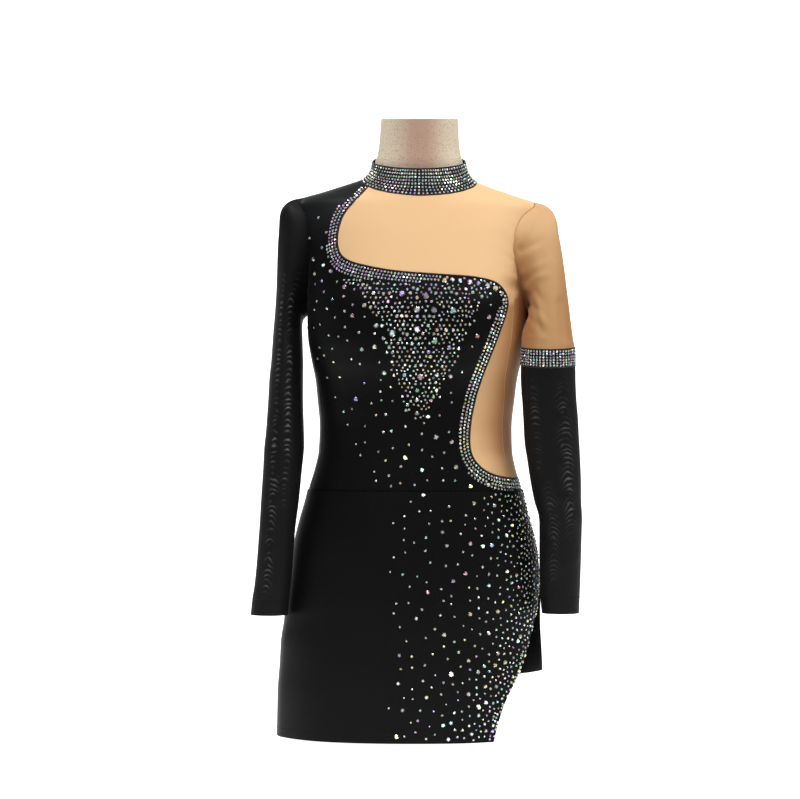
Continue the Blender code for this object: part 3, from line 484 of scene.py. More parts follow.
def smooth_line(points, count):
    """Rounded line that runs through all its points, with both ends kept."""
    padded = [points[0]] + list(points) + [points[-1]]
    line = []
    for i in range(1, len(padded) - 2):
        p0, p1, p2, p3 = (Vector(padded[k]) for k in range(i - 1, i + 3))
        for step in range(count):
            s = step / count
            line.append(tuple(0.5 * (2 * p1 + (p2 - p0) * s + (2 * p0 - 5 * p1 + 4 * p2 - p3) * s * s
                                     + (3 * p1 - p0 - 3 * p2 + p3) * s ** 3)))
    return line + [tuple(points[-1])]


def design_places(back=False):
    """The design line as places on the figure's front or back."""
    line = smooth_line(DESIGN_LINE, 4)
    places = [place_at_x(x, height, back) for x, height in line]
    return [neck_place(places[0][0])] + places[1:]


def seam_angle(height, side):
    """Angle of the side seam from the front, in radians."""
    return math.radians(SIDE_SEAM_CURVES["left_angle" if side > 0 else "right_angle"](height))


def side_seam_place(height, side, back=False):
    """Place on the side seam. The back panel counts its angles on through 180."""
    angle = seam_angle(height, side)
    if side < 0:
        angle = TURN - angle if back else -angle
    return (angle, level_of(height))


def join_lines(*lines):
    """One closed outline from lines whose ends meet."""
    outline = []
    for line in lines:
        outline.extend(line[:-1])
    return outline


def cut_at_seam(line, side):
    """The part of a design line before the side seam, ended on the seam."""
    kept = []
    for place in line:
        limit = seam_angle(FIGURE_CURVES["height"](place[1]), side)
        if place[0] >= limit:
            return kept + [(limit, place[1])]
        kept.append(place)
    return kept


def seam_end(armhole, side):
    """Turn on the armhole's front edge where the side seam meets it, and its height."""
    ends = []
    for i in range(400):
        turn = math.pi * (0.25 + 0.72 * i / 399)
        angle, level = armhole_place(armhole, side, turn)
        height = FIGURE_CURVES["height"](level)
        ends.append((abs(abs(angle) - seam_angle(height, side)), turn, height))
    return min(ends)[1:]


def traced(make, start, end, step):
    """Places that a function gives at even steps between two values."""
    return [make(value) for value in spread(start, end, max(2, round(abs(end - start) / step)))]


def armhole_line(armhole, side, start_turn, end_turn, unwrap=False):
    """Places along an armhole between two turns."""
    places = traced(lambda turn: armhole_place(armhole, side, turn), start_turn, end_turn, ARMHOLE_STEP)
    return [(angle % TURN if unwrap else angle, level) for angle, level in places]


def neck_line(start_angle, end_angle):
    """Places along the collar's lower edge."""
    return traced(neck_place, start_angle, end_angle, NECK_STEP)


def waist_line(start_angle, end_angle):
    """Places along the waist seam."""
    level = level_of(WAIST_SEAM_Z)
    return traced(lambda angle: (angle, level), start_angle, end_angle, WAIST_STEP)


def seam_line(side, low_height, high_height, back=False):
    """Places up a side seam."""
    return traced(lambda height: side_seam_place(height, side, back), low_height, high_height, PANEL_STEP)


def shoulder_line(armhole, side, back=False):
    """Places from the top of an armhole to the collar."""
    angle, level = armhole_place(armhole, side, 0.0)
    neck_angle = side * QUARTER
    if back and side < 0:
        angle, neck_angle = angle % TURN, neck_angle % TURN
    return straight((angle, level), neck_place(neck_angle), 5)


def inset(surface, outline, distance):
    """Outline of places moved inwards by a real distance on the surface."""
    moved = []
    for i, place in enumerate(outline):
        along, up = tangents(surface, *place)
        normal = along.cross(up).normalized()
        sides = []
        for a, b in ((outline[i - 1], place), (place, outline[(i + 1) % len(outline)])):
            run = along * (b[0] - a[0]) + up * (b[1] - a[1])
            sides.append(normal.cross(run).normalized())
        inward = (sides[0] + sides[1]) / max(0.35, 1.0 + sides[0].dot(sides[1])) * distance
        moved.append(moved_place(place, along, up, inward))
    return moved


def back_design():
    """The back's design line in two parts, right and left of the centre-back opening."""
    line = design_places(back=True)[:-1]
    line.append(side_seam_place(DESIGN_LINE[-1][1], 1))
    low = [i for i, place in enumerate(line) if FIGURE_CURVES["height"](place[1]) < BACK_CROSSING_Z]
    crossing = min(low, key=lambda i: abs(line[i][0] - math.pi))
    line[crossing] = (math.pi, line[crossing][1])
    return resample(line[:crossing + 1], LINE_STEP), resample(line[crossing:], LINE_STEP)


def bezier(p0, p1, p2, p3, s):
    """Point of a curve from p0 to p3 that p1 and p2 pull at."""
    r = 1.0 - s
    return p0 * r ** 3 + p1 * (3 * r * r * s) + p2 * (3 * r * s * s) + p3 * s ** 3


def sleeve_ring(rows, height, tilt=0.0):
    """Outer ring of a sleeve below its head. turn 0 is outward and a quarter is front."""
    curves = table_curves(rows[::-1], SLEEVE_COLUMNS)
    x, y, half_width, half_depth = (curves[name](height) for name in SLEEVE_COLUMNS[1:])
    side = math.copysign(1.0, rows[0][1])
    ring = []
    for i in range(SLEEVE_SIDES):
        turn = TURN * i / SLEEVE_SIDES
        depth = -half_depth * math.sin(turn)
        ring.append(Vector((x + side * half_width * math.cos(turn), y + depth, height + tilt * depth)))
    return ring


def sleeve_head(rows, armhole, head):
    """Rings from the armhole seam to the first level ring."""
    side = math.copysign(1.0, rows[0][1])
    tuck, drop, top_reach = head
    top_y, bottom_y, centre_z, half_depth, half_height = armhole
    hole = (top_y, bottom_y, centre_z, half_depth - 2 * SEAM_GAP, half_height - 2 * SEAM_GAP)
    last = sleeve_ring(rows, rows[0][0])
    lean = HEAD_LEAN * (rows[0][2] - bottom_y) / (centre_z - rows[0][0])
    columns = []
    for i in range(SLEEVE_SIDES):
        turn = TURN * i / SLEEVE_SIDES
        start = offset_point(figure_point, armhole_place(hole, side, turn),
                             CLOTH_EASE + CLOTH_WALL + SEAM_GAP)
        top = 0.5 * (1.0 + math.cos(turn))
        forward = lean * (1.0 - top) - HEAD_FORWARD * math.sin(turn)
        out = Vector((side, forward, -0.75 + 0.60 * top)).normalized()
        reach = HEAD_LOW_REACH + (top_reach - HEAD_LOW_REACH) * top
        end = last[i]
        over = Vector((-side * tuck * max(0.0, math.cos(turn)), 0.0,
                       drop * max(0.02, start.z - end.z)))
        columns.append([bezier(start, start + out * reach, end + over, end, k / HEAD_RINGS)
                        for k in range(HEAD_RINGS + 1)])
    return [[column[k] for column in columns] for k in range(HEAD_RINGS + 1)]


def level_rings(rows, top, bottom, step):
    """Rings of a sleeve between two heights, both included."""
    return [sleeve_ring(rows, height) for height in spread(top, bottom, round((top - bottom) / step))]


def skirt_angle_at_x(x, height):
    """Angle on the skirt's front with a given x."""
    share = (x - SKIRT_CURVES["centre"](height)) / SKIRT_CURVES["half_width"](height)
    return slice_angle(share, SKIRT_CURVES["power"](height))


def back_hem_height(angle):
    """The back hem is high at the slit and runs down to the right side seam."""
    start = math.radians(SKIRT_SIDE_ANGLE)
    share = clamp((angle - start) / (TURN - QUARTER - start))
    return HEM_Z + (BACK_HEM_HIGH_Z - HEM_Z) * (1.0 - share) ** BACK_HEM_POWER


def leg_edge(side, back):
    """Places along the brief's leg opening, from the crotch up to the side."""
    places = []
    for height in spread(BRIEF_BOTTOM_Z, LEG_CUT_HIGH_Z, 9):
        x = CROTCH_HALF_WIDTH + (height - LEG_CUT_LOW_Z) / LEG_CUT_SLOPE - BRIEF_MARGIN
        angle, level = place_at_x(side * x + figure_centre(height), height, back)
        places.append((angle % TURN if back else angle, level))
    return places


# Sizes of the finer cloth and of what is sewn and glued on it
CLOTH_THICKNESS = 0.0008
OUTER = CLOTH_EASE + CLOTH_WALL
COLLAR_OUTER = 0.0027
BRIEF_OUTER = BRIEF_EASE + CLOTH_WALL
BINDING_WIDTH = 0.0021
BINDING_HEIGHT = 0.0007
BINDING_STEP = 0.0022
HEM_DEPTH = 0.010
CUFF_STITCH_Z = 0.180
STONE_PITCH = 0.0041
COLLAR_PITCH = 0.00425
COLLAR_STONE = 0.00154
BAND_STONE = 0.00155
SMALL_STONE = 0.0016
SKIRT_STONE = 0.0023
MEDIUM_STONE = 0.0027

# Height above the waist seam that stays free of small stones, and the side of the cells
# of space in which stones are looked up
STONE_MARGIN = 0.006
CELL = 0.008

# The camera's place and the photograph's scale, for what is read off the picture
CAMERA_PLACE = (-0.02125, -3.2, 0.424)
CAMERA_LENS = 115.2
CAMERA_SENSOR = 36.0
PICTURE_CENTRE = 400.0
FOCAL_PIXELS = 2560.0

# Metres that one pixel stands for at the front of the cloth, and the first guess of how
# far that front lies before y = 0
PIXEL = 0.00125
FIRST_DEPTH = 0.09

rng = random.Random(11)


# Meshes

def numpy_inside(outline, points):
    """Which flat points lie inside a closed outline."""
    odd = np.zeros(len(points), bool)
    for (ax, ay), (bx, by) in zip(outline, np.roll(outline, -1, axis=0)):
        if ay == by:
            continue
        crosses = (ay > points[:, 1]) != (by > points[:, 1])
        odd ^= crosses & (points[:, 0] < ax + (bx - ax) * (points[:, 1] - ay) / (by - ay))
    return odd


def numpy_distance(outline, points):
    """Distance from flat points to the nearest side of an outline."""
    nearest = np.full(len(points), np.inf)
    for a, b in zip(outline, np.roll(outline, -1, axis=0)):
        run = b - a
        share = np.clip((points - a) @ run / max(run @ run, 1e-18), 0.0, 1.0)
        nearest = np.minimum(nearest, np.hypot(*(points - a - share[:, None] * run).T))
    return nearest


def filled(outline, width_scale, step):
    """Triangles that fill an outline of places, with a staggered grid inside."""
    flat = np.array([(angle * width_scale, level) for angle, level in outline])
    low, high = flat.min(axis=0), flat.max(axis=0)
    row_step = step * math.sqrt(0.75)
    grid = np.array([(low[0] + step * (column + 0.5 * (row % 2)), low[1] + row_step * row)
                     for row in range(1, int((high[1] - low[1]) / row_step) + 1)
                     for column in range(int((high[0] - low[0]) / step) + 2)])
    grid = grid[numpy_inside(flat, grid)]
    grid = grid[numpy_distance(flat, grid) > 0.45 * step]
    points = [Vector(point) for point in np.concatenate([flat, grid])]
    ring = list(range(len(flat)))
    edges = [(i, (i + 1) % len(flat)) for i in ring]
    verts, _, faces, *_ = delaunay_2d_cdt(points, edges, [ring], 1, 1e-9)
    return [(vert[0] / width_scale, vert[1]) for vert in verts], faces


def store(mesh, label, kind, domain, key, values):
    """Keeps values on a mesh under a name."""
    mesh.attributes.new(label, kind, domain).data.foreach_set(key, values)


def sharpen_border(mesh):
    """Marks the open border of a mesh as sharp, so that its rim does not shade the face."""
    uses = np.bincount([loop.edge_index for loop in mesh.loops], minlength=len(mesh.edges))
    store(mesh, "sharp_edge", "BOOLEAN", "EDGE", "value", (uses == 1).tolist())


def linked(name, data):
    """New object in the scene."""
    thing = bpy.data.objects.new(name, data)
    bpy.context.scene.collection.objects.link(thing)
    return thing


def add_mesh(name, verts, faces, finish, smooth=True):
    """New mesh object that rides on the part."""
    mesh = bpy.data.meshes.new(name)
    mesh.from_pydata([tuple(vert) for vert in verts], [], faces)
    mesh.materials.append(finish)
    if smooth:
        mesh.shade_smooth()
        sharpen_border(mesh)
    thing = linked(name, mesh)
    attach(thing, "root")
    return thing


def cloth(thing, node):
    """A sheet of cloth that stands for a CAD node."""
    shell = thing.modifiers.new("cloth", "SOLIDIFY")
    shell.thickness = CLOTH_THICKNESS
    shell.offset = -1.0
    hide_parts(node)


def panel(node, finish, surface, outline, outer, step=PANEL_STEP, width_scale=WIDTH_SCALE,
          lift=None):
    """One cloth panel on a surface, in the place of a CAD node."""
    places, faces = filled(inset(surface, outline, 0.5 * SEAM_GAP), width_scale, step)
    verts = [offset_point(surface, place, outer + (lift(*place) if lift else 0.0)) for place in places]
    thing = add_mesh(node + "_cloth", verts, faces, finish)
    cloth(thing, node)


def ribbon(name, points, normals, width, height, finish, closed=False):
    """Low rounded band along a line on a surface."""
    profile = ((-0.5, -0.3), (-0.42, 0.35), (-0.2, 0.8), (0.2, 0.8), (0.42, 0.35), (0.5, -0.3))
    count = len(points)
    verts, faces = [], []
    for i, (point, normal) in enumerate(zip(points, normals)):
        after = points[(i + 1) % count] if closed or i + 1 < count else point
        before = points[i - 1] if closed or i > 0 else point
        across = (after - before).normalized().cross(normal).normalized()
        verts.extend(point + across * (u * width) + normal * (v * height) for u, v in profile)
    sides = len(profile)
    for i in range(count if closed else count - 1):
        j = (i + 1) % count
        for k in range(sides):
            m = (k + 1) % sides
            faces.append((i * sides + k, i * sides + m, j * sides + m, j * sides + k))
    if not closed:
        faces.append(list(range(sides))[::-1])
        faces.append([(count - 1) * sides + k for k in range(sides)])
    return add_mesh(name, verts, faces, finish)


def surface_line(surface, places, lift):
    """Points and normals along places of a surface."""
    return ([offset_point(surface, place, lift) for place in places],
            [normal_at(surface, place) for place in places])


def walk(surface, places, pitch, start=0.0):
    """Places at an even real distance along a line on a surface."""
    points = [surface(*place) for place in places]
    lengths = running((b - a).length for a, b in zip(points, points[1:]))
    count = max(1, int((lengths[-1] - start) / pitch))
    made = []
    for i in range(count + 1):
        target = start + pitch * i
        if target > lengths[-1]:
            break
        k = min(np.searchsorted(lengths, target, side="right") - 1, len(points) - 2)
        share = (target - lengths[k]) / max(lengths[k + 1] - lengths[k], 1e-12)
        made.append(tuple(a + (b - a) * share for a, b in zip(places[k], places[k + 1])))
    return made


def shifted(surface, places, distance):
    """A line on a surface moved sideways, to its right for a positive distance."""
    made = []
    for i, place in enumerate(places):
        along, up = tangents(surface, *place)
        a, b = places[max(0, i - 1)], places[min(len(places) - 1, i + 1)]
        run = along * (b[0] - a[0]) + up * (b[1] - a[1])
        move = run.cross(along.cross(up).normalized()).normalized() * distance
        made.append(moved_place(place, along, up, move))
    return made


# Creases. Columns: angle and height at both ends, half width, rise. A trough has a
# negative rise.
BODICE_CREASES = (
    (-49, 0.652, -36, 0.655, 0.0022, 0.0007),
    (-52, 0.644, -37, 0.643, 0.0020, 0.0008),
    (-54, 0.637, -38, 0.631, 0.0022, 0.0009),
    (-55, 0.629, -40, 0.621, 0.0020, 0.0008),
    (-55, 0.622, -42, 0.612, 0.0022, 0.0008),
    (-53, 0.615, -40, 0.602, 0.0020, 0.0007),
    (60, 0.612, 42, 0.640, 0.0040, 0.0011),
    (60, 0.598, 40, 0.616, 0.0036, 0.0012),
    (60, 0.584, 42, 0.596, 0.0036, 0.0013),
    (61, 0.572, 44, 0.580, 0.0040, 0.0015),
    (61, 0.560, 47, 0.562, 0.0036, -0.0009),
    (62, 0.552, 52, 0.536, 0.0040, 0.0012),
    (-84, 0.575, -62, 0.600, 0.0048, 0.0011),
    (-85, 0.556, -60, 0.566, 0.0050, 0.0012),
    (-84, 0.540, -62, 0.532, 0.0050, 0.0010),
    (-70, 0.660, -50, 0.668, 0.0050, 0.0009),
    (124, 0.560, 150, 0.590, 0.0055, 0.0013),
    (122, 0.545, 146, 0.555, 0.0055, 0.0012),
    (236, 0.560, 212, 0.590, 0.0055, 0.0013),
    (238, 0.545, 214, 0.552, 0.0055, 0.0012),
    (128, 0.335, 158, 0.345, 0.0060, 0.0011),
    (232, 0.338, 204, 0.350, 0.0060, 0.0012),
    (150, 0.365, 208, 0.360, 0.0070, 0.0010),
    (-60, 0.345, -20, 0.338, 0.0060, 0.0005),
)

# The same on sleeves, with the turn round the sleeve in place of the angle
LEFT_SLEEVE_CREASES = (
    (150, 0.600, 70, 0.628, 0.0050, 0.0022),
    (150, 0.575, 60, 0.606, 0.0050, 0.0026),
    (152, 0.550, 66, 0.580, 0.0046, 0.0026),
    (155, 0.545, 95, 0.530, 0.0036, -0.0016),
    (150, 0.535, 85, 0.512, 0.0040, 0.0018),
    (148, 0.520, 95, 0.496, 0.0040, 0.0016),
    (20, 0.640, 60, 0.655, 0.0060, 0.0010),
    (205, 0.590, 280, 0.612, 0.0055, 0.0024),
    (208, 0.560, 285, 0.580, 0.0055, 0.0026),
    (210, 0.532, 280, 0.520, 0.0050, 0.0020),
    (60, 0.470, 130, 0.440, 0.0060, 0.0010),
    (200, 0.430, 300, 0.405, 0.0060, 0.0014),
    (80, 0.300, 160, 0.330, 0.0060, 0.0012),
    (220, 0.310, 320, 0.335, 0.0060, 0.0014),
    (40, 0.230, 120, 0.215, 0.0060, 0.0008),
)
RIGHT_SLEEVE_CREASES = (
    (150, 0.600, 80, 0.632, 0.0065, 0.0008),
    (150, 0.570, 75, 0.596, 0.0065, 0.0009),
    (152, 0.545, 80, 0.556, 0.0060, 0.0008),
    (150, 0.520, 85, 0.500, 0.0060, 0.0007),
    (208, 0.590, 285, 0.610, 0.0055, 0.0022),
    (210, 0.555, 285, 0.570, 0.0055, 0.0022),
    (30, 0.400, 110, 0.385, 0.0070, 0.0009),
    (210, 0.420, 310, 0.400, 0.0065, 0.0014),
    (70, 0.300, 150, 0.325, 0.0060, 0.0011),
    (215, 0.290, 310, 0.320, 0.0065, 0.0014),
    (60, 0.205, 130, 0.190, 0.0060, 0.0008),
)


def lift_from(creases, scale, to_height):
    """Function that sums the soft creases of a table at a place."""
    strokes = [(math.radians(a0) * scale, z0, math.radians(a1 - a0) * scale, z1 - z0, half, rise)
               for a0, z0, a1, z1, half, rise in creases]

    def lift(angle, level):
        total, y = 0.0, to_height(level)
        for turned in (angle, angle - TURN, angle + TURN):
            for *stroke, half, rise in strokes:
                share, away = along_stroke(turned * scale, y, *stroke)
                if away < 3.0 * half:
                    total += rise * (1.0 - 0.65 * share) * math.exp(-(away / half) ** 2)
        return total

    return lift


# Materials

def feed(tree, socket, value):
    """Gives a shader socket a value or the output of another node."""
    if isinstance(value, bpy.types.NodeSocket):
        tree.links.new(value, socket)
    else:
        socket.default_value = value


def add_node(tree, kind, inputs=None, **settings):
    """New shader node with its settings. Its outputs come back."""
    made = tree.nodes.new(kind)
    for key, value in settings.items():
        setattr(made, key, value)
    for key, value in (inputs or {}).items():
        feed(tree, made.inputs[key], value)
    return made.outputs


def new_material(name, inputs):
    """Principled material, its nodes, its shader and the coordinates in metres."""
    made = bpy.data.materials.new(name)
    made.use_nodes = True
    tree = made.node_tree
    shader = tree.nodes["Principled BSDF"]
    for key, value in inputs.items():
        shader.inputs[key].default_value = value
    return made, tree, shader, add_node(tree, "ShaderNodeTexCoord")["Object"]


def blended(tree, factor, low, high, **settings):
    """Colour between two colours by a factor. Each is a value or a socket."""
    inputs = {"Factor": factor}
    for key, colour in (("A", low), ("B", high)):
        inputs[key] = (*colour, 1.0) if isinstance(colour, tuple) else colour
    return add_node(tree, "ShaderNodeMix", inputs, data_type="RGBA", **settings)["Result"]


def noise(tree, where, scale, detail=2.0, roughness=0.5):
    """Noise value."""
    return add_node(tree, "ShaderNodeTexNoise", {
        "Vector": where, "Scale": scale, "Detail": detail, "Roughness": roughness})["Fac"]


def bands(tree, where, direction, scale, distortion=0.0):
    """Even bands across a direction."""
    return add_node(tree, "ShaderNodeTexWave", {
        "Vector": where, "Scale": scale, "Distortion": distortion},
        wave_type="BANDS", bands_direction=direction)["Fac"]


def maths(tree, operation, *values):
    """One maths node. Values or sockets go in."""
    return add_node(tree, "ShaderNodeMath", dict(enumerate(values)), operation=operation)["Value"]


def stored(tree, name):
    """Outputs of values that a mesh keeps under a name."""
    return add_node(tree, "ShaderNodeAttribute", attribute_name=name)


def dress(tree, shader, colour, height, distance, strength):
    """Colour of a shader, and its bump from a height value."""
    bump = add_node(tree, "ShaderNodeBump",
                    {"Strength": strength, "Distance": distance, "Height": height})["Normal"]
    tree.links.new(colour, shader.inputs["Base Color"])
    tree.links.new(bump, shader.inputs["Normal"])


def axes(tree, vector):
    """X, Y and Z of a vector."""
    return add_node(tree, "ShaderNodeSeparateXYZ", {"Vector": vector})


def ramp(tree, value, start, end):
    """0 to 1 between two values, softly."""
    return add_node(tree, "ShaderNodeMapRange", {"Value": value, "From Min": start, "From Max": end},
                    interpolation_type="SMOOTHSTEP")["Result"]


def facing_sideways(tree, start, end):
    """How far the cloth faces to the side and not up, from 0 to 1: the mask of the painted side shade."""
    normal = axes(tree, add_node(tree, "ShaderNodeTexCoord")["Normal"])
    up = maths(tree, "MAXIMUM", normal["Z"], 0.0)
    side = maths(tree, "SUBTRACT", maths(tree, "ABSOLUTE", normal["X"]), maths(tree, "MULTIPLY", up, 1.4))
    return ramp(tree, side, start, end)


def upright_blend(tree, where, axis, start, end):
    """0 to 1 between two places along an axis, softly."""
    return ramp(tree, axes(tree, where)[axis], start, end)


def jersey(name, low, high, roughness, sheen, sheen_tint, side_shade=None, shine=0.2, inner=False,
           top=None):
    """Stretch jersey: fine knit ribs, slight unevenness, a soft sheen, painted shade in a deeper
    tone on the sides and lower down, and a painted lighter top where one is given."""
    made, tree, shader, where = new_material(name, {
        "Roughness": roughness, "Sheen Weight": sheen, "Sheen Roughness": 0.45,
        "Sheen Tint": (*sheen_tint, 1.0), "Specular IOR Level": shine})
    fine = noise(tree, where, 1300.0)
    cloudy = maths(tree, "MULTIPLY", noise(tree, where, 16.0, 3.0), 0.6)
    plain = blended(tree, maths(tree, "ADD", cloudy, maths(tree, "MULTIPLY", fine, 0.4)), low, high)
    # Painted shade: a deeper colour is mixed in where the cloth faces sideways and not up, more so lower
    # down, and on the inner side of the arm when inner is set
    if side_shade:
        side = facing_sideways(tree, 0.12, 0.92)
        if inner:
            side = maths(tree, "MAXIMUM", side, upright_blend(tree, where, "X", 0.153, 0.136))
        below = upright_blend(tree, where, "Z", 0.63, 0.55)
        plain = blended(tree, maths(tree, "MULTIPLY", side, below), plain, side_shade)
    # Painted light: the top colour is mixed in towards the top, a lighter top where the light from above
    # falls
    if top:
        start, end, colour = top
        plain = blended(tree, upright_blend(tree, where, "Z", start, end), plain, colour)
    ribs = maths(tree, "MULTIPLY", bands(tree, where, "X", 420.0, 0.6), 0.5)
    dress(tree, shader, plain, maths(tree, "ADD", ribs, fine), 0.00010, 0.6)
    return made


def power_mesh(name):
    """Fine stretch mesh, with the bands that its two layers make over each other."""
    made, tree, shader, where = new_material(name, {
        "Roughness": 0.50, "Sheen Weight": 0.018, "Sheen Roughness": 0.5,
        "Sheen Tint": (0.62, 0.64, 0.66, 1.0), "Specular IOR Level": 0.09})
    holes = maths(tree, "MULTIPLY", bands(tree, where, "X", 300.0), bands(tree, where, "Z", 300.0))
    wobble = maths(tree, "MULTIPLY", noise(tree, where, 40.0, 3.0), 17.0)
    wave = maths(tree, "SINE", maths(tree, "ADD", stored(tree, "moire_phase")["Fac"], wobble))
    wave = maths(tree, "POWER", maths(tree, "MAXIMUM", wave, 0.0), 1.4)
    moire = maths(tree, "MULTIPLY", wave, stored(tree, "moire_mask")["Fac"])
    patchy = maths(tree, "MAXIMUM", maths(tree, "SUBTRACT", noise(tree, where, 60.0), 0.38), 0.0)
    broken = maths(tree, "MULTIPLY", moire, maths(tree, "MULTIPLY", patchy, 4.2))
    broken = maths(tree, "MULTIPLY", broken, maths(tree, "ADD", noise(tree, where, 420.0), 0.30))
    base = maths(tree, "ADD", broken, maths(tree, "MULTIPLY", holes, 0.06))
    dress(tree, shader, blended(tree, base, (0.0024, 0.0024, 0.0025), (0.21, 0.21, 0.21)),
          holes, 0.00012, 0.5)
    return made


def form_cover():
    """Beige cover with dark flecks, painted shade down the middle of the neck and painted light on its
    sides.
    """
    made, tree, shader, where = new_material("form_cover_fabric", {
        "Roughness": 0.85, "Sheen Weight": 0.15, "Specular IOR Level": 0.2})
    front = blended(tree, noise(tree, where, 9.0, 3.0), (0.36, 0.225, 0.16), (0.46, 0.31, 0.225))
    # Painted shade and light: darker and pinker down the middle of the neck, lighter towards its sides
    # where the side lights fall
    away = maths(tree, "ABSOLUTE", maths(tree, "SUBTRACT", axes(tree, where)["X"], 0.004))
    base = blended(tree, ramp(tree, away, 0.004, 0.046), front, (0.66, 0.56, 0.42))
    dots = add_node(tree, "ShaderNodeValToRGB", {"Fac": noise(tree, where, 620.0, 1.0, 0.4)})["Color"]
    for element, position in zip(dots.node.color_ramp.elements, (0.58, 0.68)):
        element.position = position
    flecked = blended(tree, maths(tree, "MULTIPLY", dots, 0.60), base, (0.20, 0.15, 0.13))
    dress(tree, shader, flecked, noise(tree, where, 900.0), 0.00015, 0.5)
    return made


def steel():
    """Satin metal of the stand."""
    made, tree, shader, where = new_material("stand_steel", {"Metallic": 0.7, "Roughness": 0.36})
    brushed = noise(tree, where, 260.0, 3.0)
    dress(tree, shader, blended(tree, brushed, (0.36, 0.36, 0.37), (0.50, 0.50, 0.51)),
          brushed, 0.00005, 0.4)
    return made


def crystal():
    """Foil-backed cut glass whose colour comes with each stone, with painted glints: its facets glow by a
    stored emission, a painted reflection.
    """
    made, tree, shader, where = new_material("cut_crystal", {
        "Metallic": 0.6, "Roughness": 0.16, "Coat Weight": 0.5, "Coat Roughness": 0.03})
    tint = stored(tree, "tint")
    shade = blended(tree, noise(tree, where, 700.0, 0.0), (0.45, 0.5, 0.55), (1.0, 1.0, 1.0))
    # Painted glints: the stored alpha drives an emission that makes the facets glow
    for key, value in (
            ("Base Color", blended(tree, 0.5, tint["Color"], shade, blend_type="MULTIPLY")),
            ("Emission Color", tint["Color"]), ("Emission Strength", tint["Alpha"])):
        tree.links.new(value, shader.inputs[key])
    return made


def thread(name, low, high):
    """Twisted thread or narrow tape."""
    made, tree, shader, where = new_material(name, {
        "Roughness": 0.7, "Sheen Weight": 0.2, "Specular IOR Level": 0.2})
    twist = noise(tree, where, 1500.0, 1.0)
    dress(tree, shader, blended(tree, twist, low, high), twist, 0.0001, 0.5)
    return made


# Black jersey with a painted sheen: a lighter colour on the shoulders above 0.60 m, where the top light
# falls
BLACK = jersey("black_jersey", (0.0012, 0.0012, 0.0013), (0.0026, 0.0026, 0.0028), 0.46, 0.015,
               (0.62, 0.68, 0.70), shine=0.09,
               top=(0.60, 0.665, (0.0090, 0.0095, 0.0100)))
# Nude jersey with painted shade in a deeper brown on its sides
NUDE = jersey("nude_jersey", (0.66, 0.415, 0.208), (0.71, 0.455, 0.238), 0.55, 0.10, (1.0, 0.88, 0.74),
              (0.37, 0.165, 0.060))
# Nude sleeve jersey with painted shade on its sides and inner arm, and painted light on the top of the
# sleeve head
NUDE_SLEEVE = jersey("nude_sleeve_jersey", (0.42, 0.235, 0.098), (0.47, 0.268, 0.120), 0.52, 0.12,
                     (1.0, 0.88, 0.74), (0.36, 0.160, 0.060), inner=True,
                     top=(0.612, 0.645, (0.52, 0.310, 0.150)))
MESH = power_mesh("black_power_mesh")
COVER = form_cover()
STEEL = steel()
CRYSTAL = crystal()
TAPE = thread("black_tape", (0.004, 0.004, 0.004), (0.009, 0.009, 0.009))
NUDE_THREAD = thread("nude_thread", (0.46, 0.24, 0.10), (0.56, 0.31, 0.15))


# Bodice, collar, skirt and brief

def bodice():
    """The five bodice panels on the figure, and the lines between them."""
    front_line = cut_at_seam(design_places(), 1)
    left_turn, left_top = seam_end(ARMHOLE_LEFT, 1)
    right_turn, right_top = seam_end(ARMHOLE_RIGHT, -1)
    meet_height = FIGURE_CURVES["height"](front_line[-1][1])
    line = resample(front_line, LINE_STEP)
    left_angle, right_angle = seam_angle(WAIST_SEAM_Z, 1), seam_angle(WAIST_SEAM_Z, -1)
    right_part, left_part = back_design()
    end_height = DESIGN_LINE[-1][1]
    slit = resample([neck_place(math.pi), left_part[0]], PANEL_STEP)
    lift = lift_from(BODICE_CREASES, WIDTH_SCALE, FIGURE_CURVES["height"])
    outlines = {
        "bodice_front_black": (
            waist_line(-right_angle, left_angle),
            seam_line(1, WAIST_SEAM_Z, meet_height),
            line[::-1],
            neck_line(line[0][0], -QUARTER),
            shoulder_line(ARMHOLE_RIGHT, -1)[::-1],
            armhole_line(ARMHOLE_RIGHT, -1, 0.0, right_turn),
            seam_line(-1, WAIST_SEAM_Z, right_top)[::-1]),
        "bodice_front_nude": (
            line,
            seam_line(1, meet_height, left_top),
            armhole_line(ARMHOLE_LEFT, 1, left_turn, 0.0),
            shoulder_line(ARMHOLE_LEFT, 1),
            neck_line(QUARTER, line[0][0])),
        "bodice_back_black": (
            waist_line(left_angle, TURN - right_angle),
            seam_line(-1, WAIST_SEAM_Z, right_top, back=True),
            armhole_line(ARMHOLE_RIGHT, -1, right_turn, TURN, unwrap=True),
            shoulder_line(ARMHOLE_RIGHT, -1, back=True),
            neck_line(TURN - QUARTER, right_part[0][0]),
            right_part,
            left_part,
            seam_line(1, WAIST_SEAM_Z, end_height)[::-1]),
        "bodice_back_nude_right": (
            neck_line(right_part[0][0], math.pi),
            slit,
            right_part[::-1]),
        "bodice_back_nude_left": (
            slit[::-1],
            neck_line(math.pi, QUARTER),
            shoulder_line(ARMHOLE_LEFT, 1)[::-1],
            armhole_line(ARMHOLE_LEFT, 1, TURN, left_turn),
            seam_line(1, end_height, left_top)[::-1],
            left_part[::-1]),
    }
    for node, lines in outlines.items():
        slot_name, finish = ("nude_jersey", NUDE) if "nude" in node else ("black_jersey", BLACK)
        panel(node, finish, figure_point, join_lines(*lines), OUTER, lift=lift)
    for name, places, side in (("front", line, 0.5), ("back_right", right_part, -0.5),
                               ("back_left", left_part, -0.5)):
        bind("binding_" + name, shifted(figure_point, places, side * BINDING_WIDTH), TAPE)
    return line, right_part, left_part


